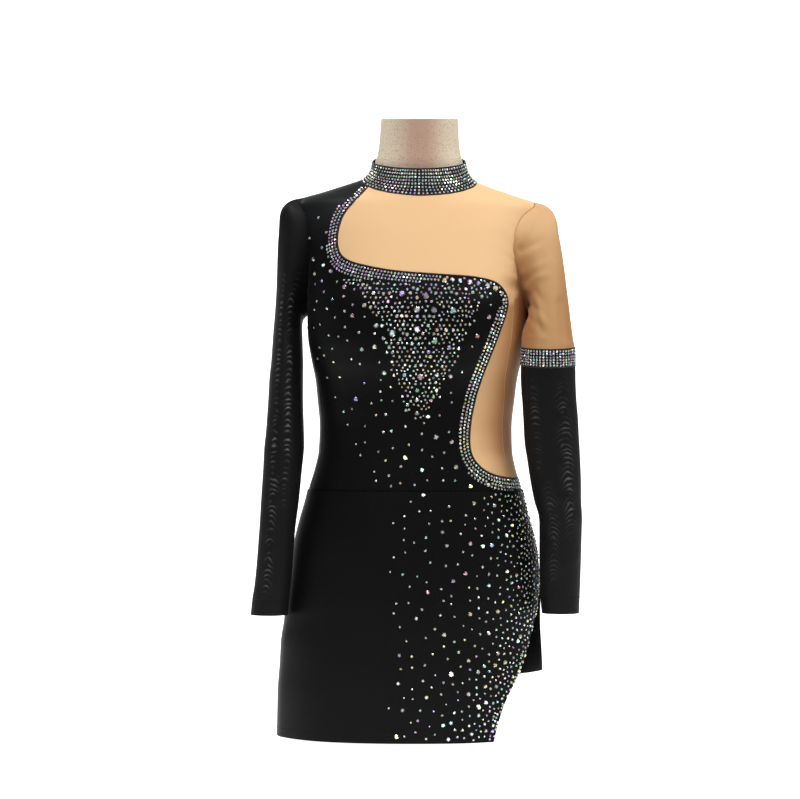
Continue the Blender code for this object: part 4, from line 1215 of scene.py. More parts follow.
def bind(name, places, finish, width=BINDING_WIDTH, height=BINDING_HEIGHT, lift=OUTER,
         surface=figure_point):
    """Narrow binding or stitched ridge along a line of a surface."""
    points, normals = surface_line(surface, walk(surface, places, BINDING_STEP), lift)
    ribbon(name, points, normals, width, height, finish)


def collar_places(edge, count=150, shift=0.0):
    """Places round a collar edge, from one side of the back opening to the other."""
    end = math.pi - 0.012
    return [(angle, level_of(collar_height(edge, angle)) + shift) for angle in spread(-end, end, count)]


def collar():
    """Stand-up band with its bound edges."""
    low, high = collar_places(COLLAR_BOTTOM), collar_places(COLLAR_TOP)
    outline = inset(figure_point, low + high[::-1], 0.0003)
    places, faces = filled(outline, COLLAR_WIDTH_SCALE, COLLAR_STEP)
    verts = [offset_point(figure_point, place, COLLAR_OUTER) for place in places]
    band = add_mesh("collar_band", verts, faces, BLACK)
    girth = 0.5 * sum((figure_point(*b) - figure_point(*a)).length
                      for line in (low, high) for a, b in zip(line, line[1:]))
    cloth(band, "collar")
    for name, edge, shift, width in (("collar_top_edge", COLLAR_TOP, -0.0006, 0.0018),
                                     ("collar_seam_edge", COLLAR_BOTTOM, 0.0003, 0.0016)):
        bind(name, collar_places(edge, shift=shift), TAPE, width, 0.0006, COLLAR_OUTER)


def skirt_front_outline():
    """Outline of the skirt's front, and its free edge with the join above it."""
    side_angle = math.radians(SKIRT_SIDE_ANGLE)
    edge = [(skirt_angle_at_x(FREE_EDGE_CURVES["x"](height), height), height)
            for height in spread(HEM_Z, SLIT_TOP_Z, 60)]
    join = resample([edge[-1], (side_angle, SLIT_JOIN_Z), (side_angle, WAIST_SEAM_Z)], SKIRT_STEP)
    low, high = (-QUARTER, HEM_Z), (-QUARTER, WAIST_SEAM_Z)
    outline = join_lines(straight(low, edge[0], 50), edge, join, straight(join[-1], high, 50),
                         straight(high, low, 40))
    return outline, edge, join


def skirt_back_outline():
    """Outline of the skirt's back."""
    side_angle, end_angle = math.radians(SKIRT_SIDE_ANGLE), TURN - QUARTER
    hem = [(angle, back_hem_height(angle)) for angle in spread(side_angle, end_angle, 60)]
    right_high, left_high = (end_angle, WAIST_SEAM_Z), (side_angle, WAIST_SEAM_Z)
    left_edge = resample([left_high, (side_angle, BACK_HEM_HIGH_Z)], SKIRT_STEP)
    return join_lines(hem, straight(hem[-1], right_high, 40), straight(right_high, left_high, 50),
                      left_edge), hem


def skirt():
    """Front and back of the skirt with their stitched hems."""
    front, edge, join = skirt_front_outline()
    back, hem = skirt_back_outline()
    front_hem = [(angle, HEM_Z + HEM_DEPTH)
                 for angle in np.linspace(-QUARTER + 0.01, edge[2][0] - 0.02, 80)]
    back_hem = [(angle, height + HEM_DEPTH) for angle, height in hem[1:-1]]
    for node, outline in (("skirt_front", front), ("skirt_back", back)):
        panel(node, BLACK, skirt_point, outline, 0.0, SKIRT_STEP, SKIRT_WIDTH_SCALE)
    for name, places in (("skirt_front_hem_stitch", front_hem), ("skirt_back_hem_stitch", back_hem)):
        bind(name, places, BLACK, 0.0009, 0.0003, 0.0, surface=skirt_point)
    return edge, join


def brief():
    """Front and back of the pants under the skirt."""
    waist = level_of(WAIST_SEAM_Z)
    for node, back in (("brief_front", False), ("brief_back", True)):
        ends = (QUARTER, TURN - QUARTER) if back else (-QUARTER, QUARTER)
        legs = [leg_edge(side, back) for side in ((1, -1) if back else (-1, 1))]
        sides = [[leg[-1], (end, leg[-1][1])] for leg, end in zip(legs, ends)]
        tops = [(end, waist) for end in ends]
        outline = join_lines(
            straight(legs[0][0], legs[1][0], 8),
            legs[1],
            sides[1],
            resample([sides[1][-1], tops[1]], BRIEF_STEP),
            straight(tops[1], tops[0], 40),
            resample([tops[0], sides[0][-1]], BRIEF_STEP),
            sides[0][::-1],
            legs[0][::-1])
        panel(node, BLACK, figure_point, outline, BRIEF_OUTER, BRIEF_STEP)


# Sleeves

def ring_faces(count, sides, flip):
    """Faces of an open tube."""
    faces = []
    for k in range(count - 1):
        for i in range(sides):
            j = (i + 1) % sides
            quad = [k * sides + i, k * sides + j, (k + 1) * sides + j, (k + 1) * sides + i]
            faces.append(quad[::-1] if flip else quad)
    return faces


def ring_normals(rings, k):
    """Outward normals of one ring of a tube."""
    sides = len(rings[k])
    above, below = rings[max(0, k - 1)], rings[min(len(rings) - 1, k + 1)]
    centre = sum(rings[k], Vector()) / sides
    made = []
    for i in range(sides):
        round_it = rings[k][(i + 1) % sides] - rings[k][i - 1]
        normal = round_it.cross(above[i] - below[i]).normalized()
        made.append(normal if normal.dot(rings[k][i] - centre) > 0.0 else -normal)
    return made


# Folds of the nude sleeve where they lie in the picture. Columns: across and down at both
# ends, half width, rise in millimetres
ARM_FOLDS = (
    (520.7, 243.7, 536.4, 221.5, 2.9, 2.03),
    (520.7, 251.0, 543.0, 240.0, 2.9, -2.25),
    (522.4, 274.6, 550.4, 261.6, 3.2, 2.25),
    (522.0, 263.0, 541.0, 254.0, 3.8, -1.12),
    (525.6, 280.5, 533.0, 277.0, 2.2, -2.47),
    (533.0, 278.4, 547.2, 276.8, 2.4, 1.58),
    (529.4, 288.7, 539.0, 307.0, 2.4, 2.92),
    (526.7, 294.0, 525.6, 311.0, 3.2, -2.25),
    (534.5, 292.0, 546.0, 305.0, 3.5, -1.12),
    (538.5, 311.5, 546.0, 326.0, 2.9, 1.58),
    (535.3, 318.0, 541.8, 334.0, 3.8, -1.58),
    (559.0, 304.0, 565.5, 342.0, 4.5, -1.80),
    (554.7, 266.0, 559.0, 309.0, 3.8, 1.12),
    (541.8, 211.7, 525.6, 233.4, 3.2, 1.80),
    (550.4, 212.8, 544.0, 227.0, 4.0, -1.80),
    (528.0, 338.0, 560.0, 341.0, 2.8, 1.12),
)


# The eased tops of the sleeves, which stand out a little. Columns: across, down, reach, rise
SLEEVE_TOPS = (
    (555.0, 213.0, 13.0, 3.4),
    (283.0, 209.0, 14.0, 4.0),
)


def along_stroke(x, y, start_x, start_y, run_x, run_y):
    """How far along a stroke a point lies, as a share, and how far off it."""
    share = clamp(((x - start_x) * run_x + (y - start_y) * run_y) / (run_x * run_x + run_y * run_y))
    return share, math.hypot(x - start_x - share * run_x, y - start_y - share * run_y)


def fold_lift(point, normal, folds):
    """Rise of the folds that show at a point, on the front and less on the back."""
    facing = -normal.y if normal.y < 0.0 else 0.7 * normal.y
    px, py = picture_of(Vector((point.x, -abs(point.y), point.z)))
    top = sum(0.001 * rise * math.exp(-math.hypot(px - across, py - down) ** 2 / reach ** 2)
              for across, down, reach, rise in SLEEVE_TOPS)
    total = 0.0
    for x0, y0, x1, y1, half, rise in folds:
        share, away = along_stroke(px, py, x0, y0, x1 - x0, y1 - y0)
        if away < 3.0 * half:
            total += 0.001 * rise * (1.0 - 0.45 * share) * math.exp(-(away / half) ** 2)
    return top + total * facing


def creased(rings, creases, folds):
    """Rings moved out and in by the creases of a sleeve."""
    lift = lift_from(creases, SLEEVE_RADIUS, lambda level: level)
    made = []
    for k, ring in enumerate(rings):
        fade = min(1.0, k / 5.0, (len(rings) - 1 - k) / 4.0)
        made.append([point + normal * (fade * (lift(TURN * i / len(ring), point.z)
                                               + fold_lift(point, normal, folds)))
                     for i, (point, normal) in enumerate(zip(ring, ring_normals(rings, k)))])
    return made


def sleeve_tube(node, rings, finish, flip=False, creases=(), folds=()):
    """One sleeve piece from its rings."""
    if creases:
        rings = creased(rings, creases, folds)
    sides = len(rings[0])
    thing = add_mesh(node + "_cloth", [point for ring in rings for point in ring],
                     ring_faces(len(rings), sides, flip), finish)
    cloth(thing, node)
    return thing, rings


def add_moire(thing, rings, strips, period, slant):
    """Stores where and in which phase the two layers of mesh make bands."""
    phases, masks = [], []
    for ring in rings:
        for i, point in enumerate(ring):
            turn = 360.0 * i / len(ring)
            mask, offset = 0.0, 0.0
            for where, half, low, high, level in strips:
                away = (turn - where + 180.0) % 360.0 - 180.0
                rise = min(1.0, max(0.0, (point.z - low) / 0.03), max(0.0, (high - point.z) / 0.05))
                share = level * rise * math.exp(-(away / half) ** 2)
                if share > mask:
                    mask, offset = share, away
            masks.append(mask)
            phases.append(TURN * (point.z / period) + slant * (offset / 12.0) ** 2)
    for label, values in (("moire_phase", phases), ("moire_mask", masks)):
        store(thing.data, label, "FLOAT", "POINT", "value", values)


def hoop(name, rings, k, width, height, finish):
    """Ridge round one ring of a sleeve."""
    ribbon(name, rings[k], ring_normals(rings, k), width, height, finish, closed=True)


def sleeve_hem(side, rings):
    """Stitched ridge round a cuff."""
    k = min(range(len(rings)), key=lambda n: abs(rings[n][0].z - CUFF_STITCH_Z))
    hoop(f"sleeve_{side}_hem", rings, k, 0.0012, 0.0005, MESH)


def sleeves():
    """Right mesh sleeve, and the left sleeve's upper part, band and lower part."""
    first, half = SLEEVE_LEFT[0][0], 0.5 * SEAM_GAP
    right = sleeve_head(SLEEVE_RIGHT, ARMHOLE_RIGHT, HEAD_RIGHT)[:-1]
    right += level_rings(SLEEVE_RIGHT, SLEEVE_RIGHT[0][0], SLEEVE_RIGHT[-1][0], SLEEVE_RING_STEP)
    thing, rings = sleeve_tube("sleeve_right", right, MESH, True, RIGHT_SLEEVE_CREASES)
    add_moire(thing, rings, RIGHT_MOIRE, 0.0070, 2.2)
    sleeve_hem("right", rings)
    upper = sleeve_head(SLEEVE_LEFT, ARMHOLE_LEFT, HEAD_LEFT)
    upper += level_rings(SLEEVE_LEFT, first - 0.003, BAND_TOP_Z + 0.004, 0.0025)
    upper.append(sleeve_ring(SLEEVE_LEFT, BAND_TOP_Z + half, BAND_TILT))
    sleeve_tube("sleeve_left_upper", upper, NUDE_SLEEVE, False, LEFT_SLEEVE_CREASES,
                ARM_FOLDS)
    band = [sleeve_ring(SLEEVE_LEFT, BAND_TOP_Z - half - (BAND_TOP_Z - BAND_BOTTOM_Z - 2 * half) * i / 5,
                        BAND_TILT) for i in range(6)]
    sleeve_tube("sleeve_left_band", band, BLACK)
    lower = [sleeve_ring(SLEEVE_LEFT, BAND_BOTTOM_Z - half, BAND_TILT)]
    lower += level_rings(SLEEVE_LEFT, BAND_BOTTOM_Z - 0.006, SLEEVE_LEFT[-1][0], SLEEVE_RING_STEP)
    thing, rings = sleeve_tube("sleeve_left_lower", lower, MESH, False, LEFT_SLEEVE_CREASES)
    add_moire(thing, rings, LEFT_MOIRE, 0.0062, 3.0)
    sleeve_hem("left", rings)
    for name, row in (("band_top_edge", 0), ("band_bottom_edge", 5)):
        hoop(name, band, row, 0.0016, 0.0008, TAPE)
    return band


# Where the two layers of mesh show as bands. Columns: turn, half angle, low and
# high end, strength
RIGHT_MOIRE = (
    (62.0, 6.5, 0.300, 0.590, 0.50),
    (103.0, 7.5, 0.330, 0.585, 0.62),
    (112.0, 5.0, 0.585, 0.640, 0.30),
    (70.0, 11.0, 0.180, 0.345, 0.60),
    (103.0, 7.0, 0.290, 0.400, 0.42),
    (245.0, 14.0, 0.200, 0.560, 0.45),
    (290.0, 12.0, 0.220, 0.600, 0.40),
)
LEFT_MOIRE = (
    (62.0, 13.0, 0.250, 0.460, 0.36),
    (112.0, 12.0, 0.190, 0.330, 0.22),
    (128.0, 9.0, 0.330, 0.462, 0.22),
    (250.0, 14.0, 0.200, 0.440, 0.40),
)


# Crystals

STONE_TINTS = (
    ((1.00, 1.00, 0.98), 3.6, 4.2),
    ((0.72, 0.76, 0.75), 3.0, 3.4),
    ((0.56, 0.95, 0.68), 0.8, 3.2),
    ((0.55, 0.90, 0.96), 1.4, 2.2),
    ((1.00, 0.93, 0.48), 0.6, 3.4),
    ((1.00, 0.56, 0.70), 3.2, 1.1),
    ((0.68, 0.48, 1.00), 4.6, 0.8),
    ((1.00, 0.68, 0.46), 0.5, 1.3),
)
# Colours of the painted glints that make single stones flash
SPARKLES = {"green": (0.45, 1.0, 0.62), "yellow": (1.0, 0.93, 0.35), "blue": (0.45, 0.90, 1.0)}
STONE_SIDES = 8


TAKEN = {}


def cell_of(point):
    """Cell of space that a point lies in."""
    return tuple(int(c // CELL) for c in point)


class Stones:
    """Stones of one region, kept apart from each other and joined into one mesh."""

    def __init__(self, name, slot_name):
        self.name = name
        self.slot_name = slot_name
        self.rows = []

    def near(self, point, reach):
        """Whether a stone already lies within reach of a point."""
        return any((other - point).length < reach + radius
                   for cell in product(*((c - 1, c, c + 1) for c in cell_of(point)))
                   for other, radius in TAKEN.get(cell, ()))

    def put(self, point, normal, radius, high=0.5, apart=0.0002, sparkle=""):
        """Adds a stone unless it would touch another."""
        if self.near(point, radius + apart):
            return
        TAKEN.setdefault(cell_of(point), []).append((point, radius))
        weights = [cool * high + warm * (1.0 - high) for _, cool, warm in STONE_TINTS]
        tint, second = rng.choices([row[0] for row in STONE_TINTS], weights, k=2)
        bright = rng.uniform(0.60, 1.0)
        # Painted glints: sparkle stones glow strongly in one colour, the others glow a little and a few
        # strongly
        if sparkle:
            tint, painted_glint = SPARKLES[sparkle], 2.2
        else:
            painted_glint = 0.04 + 0.46 * rng.random() ** 2 + (1.2 if rng.random() < 0.02 else 0.0)
        self.rows.append((point, normal, radius, [[c * bright for c in row] for row in (tint, second)],
                          painted_glint, rng.uniform(0.0, TURN), rng.uniform(-0.16, 0.16),
                          rng.uniform(-0.16, 0.16)))

    def build(self):
        """One mesh of all the stones, with their tints, painted facet reflections and painted glints."""
        shape, faces = stone_shape()
        verts, polygons, tints = [], [], []
        # Painted reflections: the girdle faces nearly dark, the table full bright, and each crown facet a
        # random share from dark to bright
        kinds = [0.05 if len(face) == 4 else 1.0 if len(face) == STONE_SIDES else 0.0 for face in faces]
        for point, normal, radius, colours, painted_glint, spin, tip, lean in self.rows:
            side = normal.orthogonal().normalized()
            other = normal.cross(side)
            tipped = (normal + side * tip + other * lean).normalized()
            across = side * math.cos(spin) + other * math.sin(spin)
            across = (across - tipped * across.dot(tipped)).normalized()
            cross = tipped.cross(across)
            base = len(verts)
            verts.extend(point + (across * x + cross * y + tipped * z) * radius for x, y, z in shape)
            polygons.extend([base + i for i in face] for face in faces)
            for kind in kinds:
                share = kind or rng.choice((0.05, 0.10, 0.30, 1.0))
                tint = colours[0 if kind else rng.choice((0, 1, 1))]
                tints.extend([*[c * share for c in tint], painted_glint * share])
        thing = add_mesh(self.name, verts, polygons, CRYSTAL, smooth=False)
        store(thing.data, "tint", "FLOAT_COLOR", "FACE", "color", tints)


def stone_shape():
    """Points and faces of a flat-backed stone with a table, a crown and a girdle."""
    n = STONE_SIDES
    points, faces = [], []
    for radius, height, turned in ((0.90, 0.0, 0.0), (1.0, 0.22, 0.0), (0.60, 0.62, 0.5)):
        for i in range(n):
            angle = TURN * (i + turned) / n
            points.append((radius * math.cos(angle), radius * math.sin(angle), height))
    for i in range(n):
        j = (i + 1) % n
        faces += [(i, j, n + j, n + i), (n + i, n + j, 2 * n + i), (n + j, 2 * n + j, 2 * n + i)]
    return points, faces + [tuple(range(2 * n, 3 * n))]


def on_figure(stones, place, radius, lift=OUTER, surface=figure_point, **words):
    """Puts a stone on the figure's cloth, or on another surface."""
    stones.put(offset_point(surface, place, lift), normal_at(surface, place), radius, **words)


def on_skirt(stones, place, radius, **words):
    """Puts a stone on the skirt."""
    on_figure(stones, place, radius, 0.0, skirt_point, **words)


def collar_stones():
    """Eight even rows round the collar."""
    stones = Stones("crystals_collar", "crystal_band")
    low, high = collar_places(COLLAR_BOTTOM, 1200), collar_places(COLLAR_TOP, 1200)
    middle = [(a[0], 0.62 * a[1] + 0.38 * b[1]) for a, b in zip(low, high) if a[0] >= 0.0]
    angles = [place[0] for place in walk(figure_point, middle, COLLAR_PITCH)]
    for angle in [-angle for angle in angles[:0:-1]] + angles:
        bottom, top = collar_height(COLLAR_BOTTOM, angle), collar_height(COLLAR_TOP, angle)
        levels = [quick_level(height) for height in spread(bottom, top, 24)]
        points = [figure_point(angle, level) for level in levels]
        lengths = running((b - a).length for a, b in zip(points, points[1:]))
        radius = min(COLLAR_STONE, 0.45 * lengths[-1] / 8.30)
        for row in range(8):
            level = float(np.interp(lengths[-1] * (row + 0.60) / 8.30, lengths, levels))
            on_figure(stones, (angle, level), radius, COLLAR_OUTER, high=0.6 if row < 2 else 0.2,
                      apart=-0.0008)
    stones.build()


def band_stones(band):
    """Six rows round the arm band, the first two close together."""
    stones = Stones("crystals_arm_band", "crystal_band")
    sides = len(band[0])
    lengths = running((band[0][(i + 1) % sides] - band[0][i]).length for i in range(sides))
    count = round(lengths[-1] / STONE_PITCH)
    for row_share in (0.11, 0.26, 0.44, 0.59, 0.74, 0.89):
        k = row_share * (len(band) - 1)
        low, part = int(k), k - int(k)
        ring = [a.lerp(b, part) for a, b in zip(band[low], band[min(low + 1, len(band) - 1)])]
        normals = ring_normals(band, low)
        for c in range(count):
            target = lengths[-1] * c / count
            i = int(np.searchsorted(lengths, target, side="right") - 1)
            share = (target - lengths[i]) / (lengths[i + 1] - lengths[i])
            point, normal = (row[i].lerp(row[(i + 1) % sides], share) for row in (ring, normals))
            stones.put(point, normal.normalized(), BAND_STONE, high=0.45, apart=-0.0004)
    stones.build()


HEIGHT_STEPS = 1500
HEIGHT_TABLE = [FIGURE_CURVES["height"](FIGURE_LENGTHS[-1] * i / HEIGHT_STEPS)
                for i in range(HEIGHT_STEPS + 1)]


def quick_level(height):
    """Level on the figure for a height, from a table."""
    i = clamp(bisect_right(HEIGHT_TABLE, height) - 1, 0, HEIGHT_STEPS - 1)
    share = (height - HEIGHT_TABLE[i]) / max(HEIGHT_TABLE[i + 1] - HEIGHT_TABLE[i], 1e-9)
    return FIGURE_LENGTHS[-1] * (i + clamp(share)) / HEIGHT_STEPS


def seen_at(px, py, depth):
    """x and height of what shows at a point of the picture, at a depth in front of y = 0."""
    scale = (-CAMERA_PLACE[1] - depth) / FOCAL_PIXELS
    return (CAMERA_PLACE[0] + (px - PICTURE_CENTRE) * scale,
            CAMERA_PLACE[2] - (py - PICTURE_CENTRE) * scale)


def from_picture(px, py):
    """Place on the figure's front that shows at a point of the picture."""
    depth = FIRST_DEPTH
    for _ in range(3):
        x, z = seen_at(px, py, depth)
        height = z + TILT_CURVES["tilt"](z) * x
        level = quick_level(height)
        share = (x - figure_centre(height)) / FIGURE_CURVES["half_width"](level)
        place = (slice_angle(share, FIGURE_CURVES["power"](level)), level)
        depth = -figure_point(*place).y
    return place


def skirt_from_picture(px, py):
    """Place on the skirt's front that shows at a point of the picture, if there is one."""
    depth = FIRST_DEPTH
    for _ in range(4):
        x, height = seen_at(px, py, depth)
        if abs((x - SKIRT_CURVES["centre"](height)) / SKIRT_CURVES["half_width"](height)) >= 1.0:
            return None
        angle = skirt_angle_at_x(x, height)
        depth = -skirt_point(angle, height).y
    return angle, height


def coolness(height, reach):
    """How cool the stones play at a height: cool on the chest and warm below it."""
    return (height - 0.50) / reach


def edging(stones, line, side, rows):
    """Rows of stones beside a bound line."""
    for distance, pitch, radius, start, end in rows:
        row = shifted(figure_point, line, side * distance)[int(start * len(line)):int(end * len(line))]
        for place in walk(figure_point, row, pitch, start=rng.uniform(0, 0.002)):
            on_figure(stones, place, radius * rng.uniform(0.93, 1.07), apart=-0.0001,
                      high=clamp(coolness(FIGURE_CURVES["height"](place[1]), 0.10)))


# Rows beside the front line. Columns: distance from it, pitch, radius, share of the
# line where the row starts and ends
FRONT_EDGE_ROWS = (
    (0.0041, 0.0042, 0.00170, 0.00, 1.00),
    (0.0083, 0.0042, 0.00172, 0.03, 0.40),
    (0.0084, 0.0050, 0.00215, 0.40, 0.60),
    (0.0083, 0.0042, 0.00175, 0.60, 1.00),
    (0.0124, 0.0042, 0.00165, 0.12, 0.36),
    (0.0128, 0.0046, 0.00185, 0.56, 1.00),
    (0.0165, 0.0045, 0.00160, 0.19, 0.30),
    (0.0168, 0.0050, 0.00165, 0.88, 1.00),
)
BACK_EDGE_ROWS = (
    (0.0041, 0.0042, 0.00170, 0.00, 1.00),
    (0.0083, 0.0042, 0.00172, 0.00, 1.00),
    (0.0124, 0.0042, 0.00165, 0.03, 1.00),
)

# The larger stones, where they lie in the picture. Columns: across, down, radius, and
# how cool (1) or warm (0) the colour plays
CHEST_STONES = (
    (402.5, 295.0, 4.3, 1.0), (425.5, 297.0, 4.3, 0.8), (417.0, 310.0, 4.3, 0.3), (434.0, 310.5, 4.3, 0.3),
    (452.4, 311.0, 4.3, 0.2), (417.0, 330.0, 4.3, 0.3), (392.6, 334.0, 4.3, 0.1), (434.5, 341.0, 4.3, 0.1),
    (420.6, 376.6, 4.3, 0.0), (444.3, 281.7, 3.5, 1.0), (452.0, 281.4, 3.3, 1.0), (459.3, 281.9, 3.3, 1.0),
    (469.0, 283.2, 3.7, 0.9), (477.2, 284.4, 3.3, 0.9), (486.5, 286.9, 3.7, 0.4), (494.3, 289.6, 3.9, 0.1),
    (500.2, 294.4, 3.5, 0.2), (376.8, 326.3, 3.0, 0.7), (384.6, 372.6, 3.1, 1.0), (375.0, 347.0, 3.0, 0.6),
    (362.6, 349.5, 3.0, 1.0), (353.3, 316.2, 3.0, 1.0), (365.0, 306.0, 3.0, 0.4), (345.4, 288.0, 3.0, 0.8),
    (357.0, 399.4, 3.1, 1.0), (435.7, 437.8, 3.1, 0.3), (451.3, 442.6, 2.9, 0.2), (455.3, 467.7, 2.9, 0.1),
    (476.4, 336.5, 2.9, 0.0), (487.9, 317.4, 2.8, 0.8), (480.9, 297.6, 2.8, 0.3), (448.7, 347.7, 2.8, 0.2),
    (450.3, 376.3, 2.9, 0.3), (436.8, 375.0, 2.9, 0.3), (417.2, 390.5, 2.9, 0.1), (417.0, 400.3, 2.8, 0.1),
    (417.2, 413.8, 2.9, 0.0), (487.0, 485.4, 2.8, 0.3), (307.0, 225.6, 3.1, 0.3), (319.8, 218.7, 2.0, 0.6),
    (327.6, 233.5, 2.1, 0.6), (311.7, 238.7, 2.0, 0.2), (310.0, 249.6, 2.1, 0.4), (323.7, 248.7, 2.1, 0.7),
    (330.0, 257.8, 2.0, 0.9), (315.7, 260.0, 2.9, 1.0), (316.7, 274.8, 2.4, 0.1), (332.2, 272.2, 2.9, 1.0),
)

# The stones that flash in one colour with a painted glint. Columns: across, down, radius, colour
CHEST_SPARKLES = (
    (427.8, 417.3, 2.6, "green"), (405.3, 458.5, 3.0, "yellow"), (421.8, 470.6, 2.4, "blue"),
    (436.2, 390.5, 2.4, "green"), (469.9, 486.8, 2.7, "yellow"), (325.0, 266.3, 2.3, "blue"),
)
SKIRT_SPARKLES = (
    (423.2, 495.5, 2.5, "blue"), (451.0, 674.8, 3.0, "yellow"), (478.2, 707.4, 3.0, "yellow"),
    (482.5, 546.5, 2.6, "green"), (506.2, 536.0, 2.6, "green"), (512.0, 526.0, 2.4, "yellow"),
    (396.5, 737.3, 2.9, "green"), (485.4, 703.0, 2.8, "blue"), (517.6, 641.6, 2.8, "blue"),
    (443.0, 725.8, 2.4, "green"), (498.5, 520.8, 2.2, "green"),
)

# The densely set part of the chest in the picture. Columns: down, left edge, right edge
DENSE_CHEST = (
    (281.0, 344.0, 503.0),
    (300.0, 363.0, 482.0),
    (318.0, 376.0, 472.0),
    (330.0, 384.0, 465.0),
    (350.0, 384.0, 456.0),
    (375.0, 396.0, 447.0),
    (400.0, 405.0, 434.0),
    (421.0, 414.0, 421.0),
)

DENSE_END = DENSE_CHEST[-1][0]


def dense_edges(py):
    """Left and right edge of the dense part at a height of the picture."""
    down, left, right = zip(*DENSE_CHEST)
    return float(np.interp(py, down, left)), float(np.interp(py, down, right))


def chest_spacing(px, py):
    """Distance between the sparse stones of the chest, in pixels of the picture."""
    left, right = dense_edges(py)
    away = max(left - px, px - right, 0.0)
    spacing = 7.2 + 0.17 * away
    if py > 335.0:
        spacing = max(spacing, 7.2 + 0.30 * away)
    if py > 400.0:
        spacing = max(spacing, 9.0 + 0.42 * (py - 400.0))
    return min(spacing, 13.0 if py < 360.0 else 18.0)


def chest_limit(px, py):
    """Whether stones are scattered at a point of the picture's chest."""
    return py >= 276.0 and 316.0 + max(0.0, 0.42 * (py - 350.0)) < px < 502.0


def fenced(fence, places):
    """The places on the figure that a fence holds, as true or false."""
    flat = [np.array([(angle * WIDTH_SCALE, level) for angle, level in row]) for row in (fence, places)]
    return numpy_inside(*flat)


def put_chest(stones, fence, points):
    """Puts stones at points of the picture where they are on the black cloth. Rows:
    across, down, radius, distance to keep."""
    places = [from_picture(row[0], row[1]) for row in points]
    low_level = level_of(WAIST_SEAM_Z) + STONE_MARGIN
    for place, row, within in zip(places, points, fenced(fence, places)):
        if within and place[1] >= low_level:
            on_figure(stones, place, row[2], apart=row[3],
                      high=clamp(coolness(FIGURE_CURVES["height"](place[1]), 0.09)))


# Grid of the dense part in the picture: its first row and column, and the steps between
GRID_DOWN, GRID_ACROSS = 281.0, 340.0
ROW_PIXELS, COLUMN_PIXELS = 4.45, 5.2

# How often a place is tried for a stone
SPARE_TRIES = 2500
SPARSE_TRIES = 9000
SKIRT_TRIES = 34000
BACK_TRIES = 9000


def chest_stones(line):
    """The fall of stones on the black chest and the rows along the design line."""
    stones = Stones("crystals_chest", "black_jersey")
    for px, py, radius, colour in CHEST_SPARKLES:
        on_figure(stones, from_picture(px, py), radius / 1000.0, sparkle=colour)
    for px, py, radius, cool in CHEST_STONES:
        on_figure(stones, from_picture(px, py), radius / 1000.0, high=cool)
    rows = Stones("crystals_front_edging", "black_jersey")
    edging(rows, line, 1.0, FRONT_EDGE_ROWS)
    fence = shifted(figure_point, line, 0.0040)
    fence += [(1.5, fence[-1][1]), (1.5, 0.15), (-1.6, 0.15), (-1.6, fence[0][1])]
    packed = []
    for i in range(33):
        py = GRID_DOWN + ROW_PIXELS * i
        left, right = dense_edges(py)
        for k in range(32):
            px = GRID_ACROSS + COLUMN_PIXELS * (k + 0.5 * (i % 2)) + rng.uniform(-1.0, 1.0)
            edge = min(px - left, right - px)
            if edge > rng.uniform(-6.0, 2.0) and rng.random() < (0.97 if edge > 6.0 else 0.72):
                size = SMALL_STONE * rng.choice((0.86, 0.94, 1.0, 1.08, 1.2, 1.5))
                packed.append((px, py + rng.uniform(-0.9, 0.9), size, 0.0004))
    rng.shuffle(packed)
    put_chest(stones, fence, packed)
    spare = [(rng.uniform(340.0, 505.0), rng.uniform(280.0, DENSE_END), 0.85 * SMALL_STONE, 0.0009)
             for _ in range(SPARE_TRIES)]
    put_chest(stones, fence, [row for row in spare
                              if dense_edges(row[1])[0] < row[0] < dense_edges(row[1])[1]])
    sparse = []
    for _ in range(SPARSE_TRIES):
        px, py = rng.uniform(310.0, 505.0), rng.uniform(276.0, 494.0)
        left, right = dense_edges(py)
        if not chest_limit(px, py) or (left < px < right and py < DENSE_END):
            continue
        apart = max(0.0004, chest_spacing(px, py) * PIXEL - 2.0 * SMALL_STONE)
        size = SMALL_STONE * rng.choice((0.85, 0.95, 1.0, 1.05, 1.15))
        sparse.append((px, py, size, apart * rng.uniform(0.90, 1.08)))
    put_chest(stones, fence, sparse)
    stones.build()
    rows.build()


# The larger stones of the skirt. Columns as for the chest
SKIRT_STONES = (
    (474.0, 504.0, 2.6, 0.2), (494.5, 506.0, 2.7, 0.1), (442.5, 532.7, 2.6, 0.2), (446.8, 546.0, 2.4, 0.1),
    (470.3, 544.0, 2.6, 0.2), (491.8, 545.6, 2.6, 0.1), (465.4, 574.0, 2.6, 0.3), (507.0, 572.0, 2.7, 0.1),
    (453.0, 581.6, 2.6, 0.3), (488.7, 586.0, 2.7, 0.2), (427.7, 593.0, 2.4, 0.5), (470.0, 614.5, 2.6, 0.2),
    (497.6, 612.0, 2.7, 0.1), (416.3, 619.0, 2.4, 0.5), (444.0, 635.5, 2.5, 0.2), (488.7, 633.8, 2.7, 0.1),
    (497.7, 654.0, 2.8, 0.1), (468.2, 661.0, 2.6, 0.1), (399.3, 656.0, 2.4, 0.5), (478.0, 672.6, 2.7, 0.1),
    (495.0, 665.7, 2.8, 0.1), (505.0, 663.0, 2.8, 0.2), (398.0, 684.0, 2.4, 0.4), (468.2, 694.6, 2.7, 0.1),
    (426.2, 698.0, 2.5, 0.2), (485.0, 687.0, 2.7, 0.1), (496.0, 687.0, 2.8, 0.1), (402.4, 711.0, 2.4, 0.3),
    (478.0, 716.0, 2.6, 0.1), (450.6, 723.5, 2.6, 0.2), (471.0, 734.6, 2.6, 0.2), (448.0, 740.0, 2.4, 0.2),
    (520.0, 636.7, 2.9, 0.1),
)


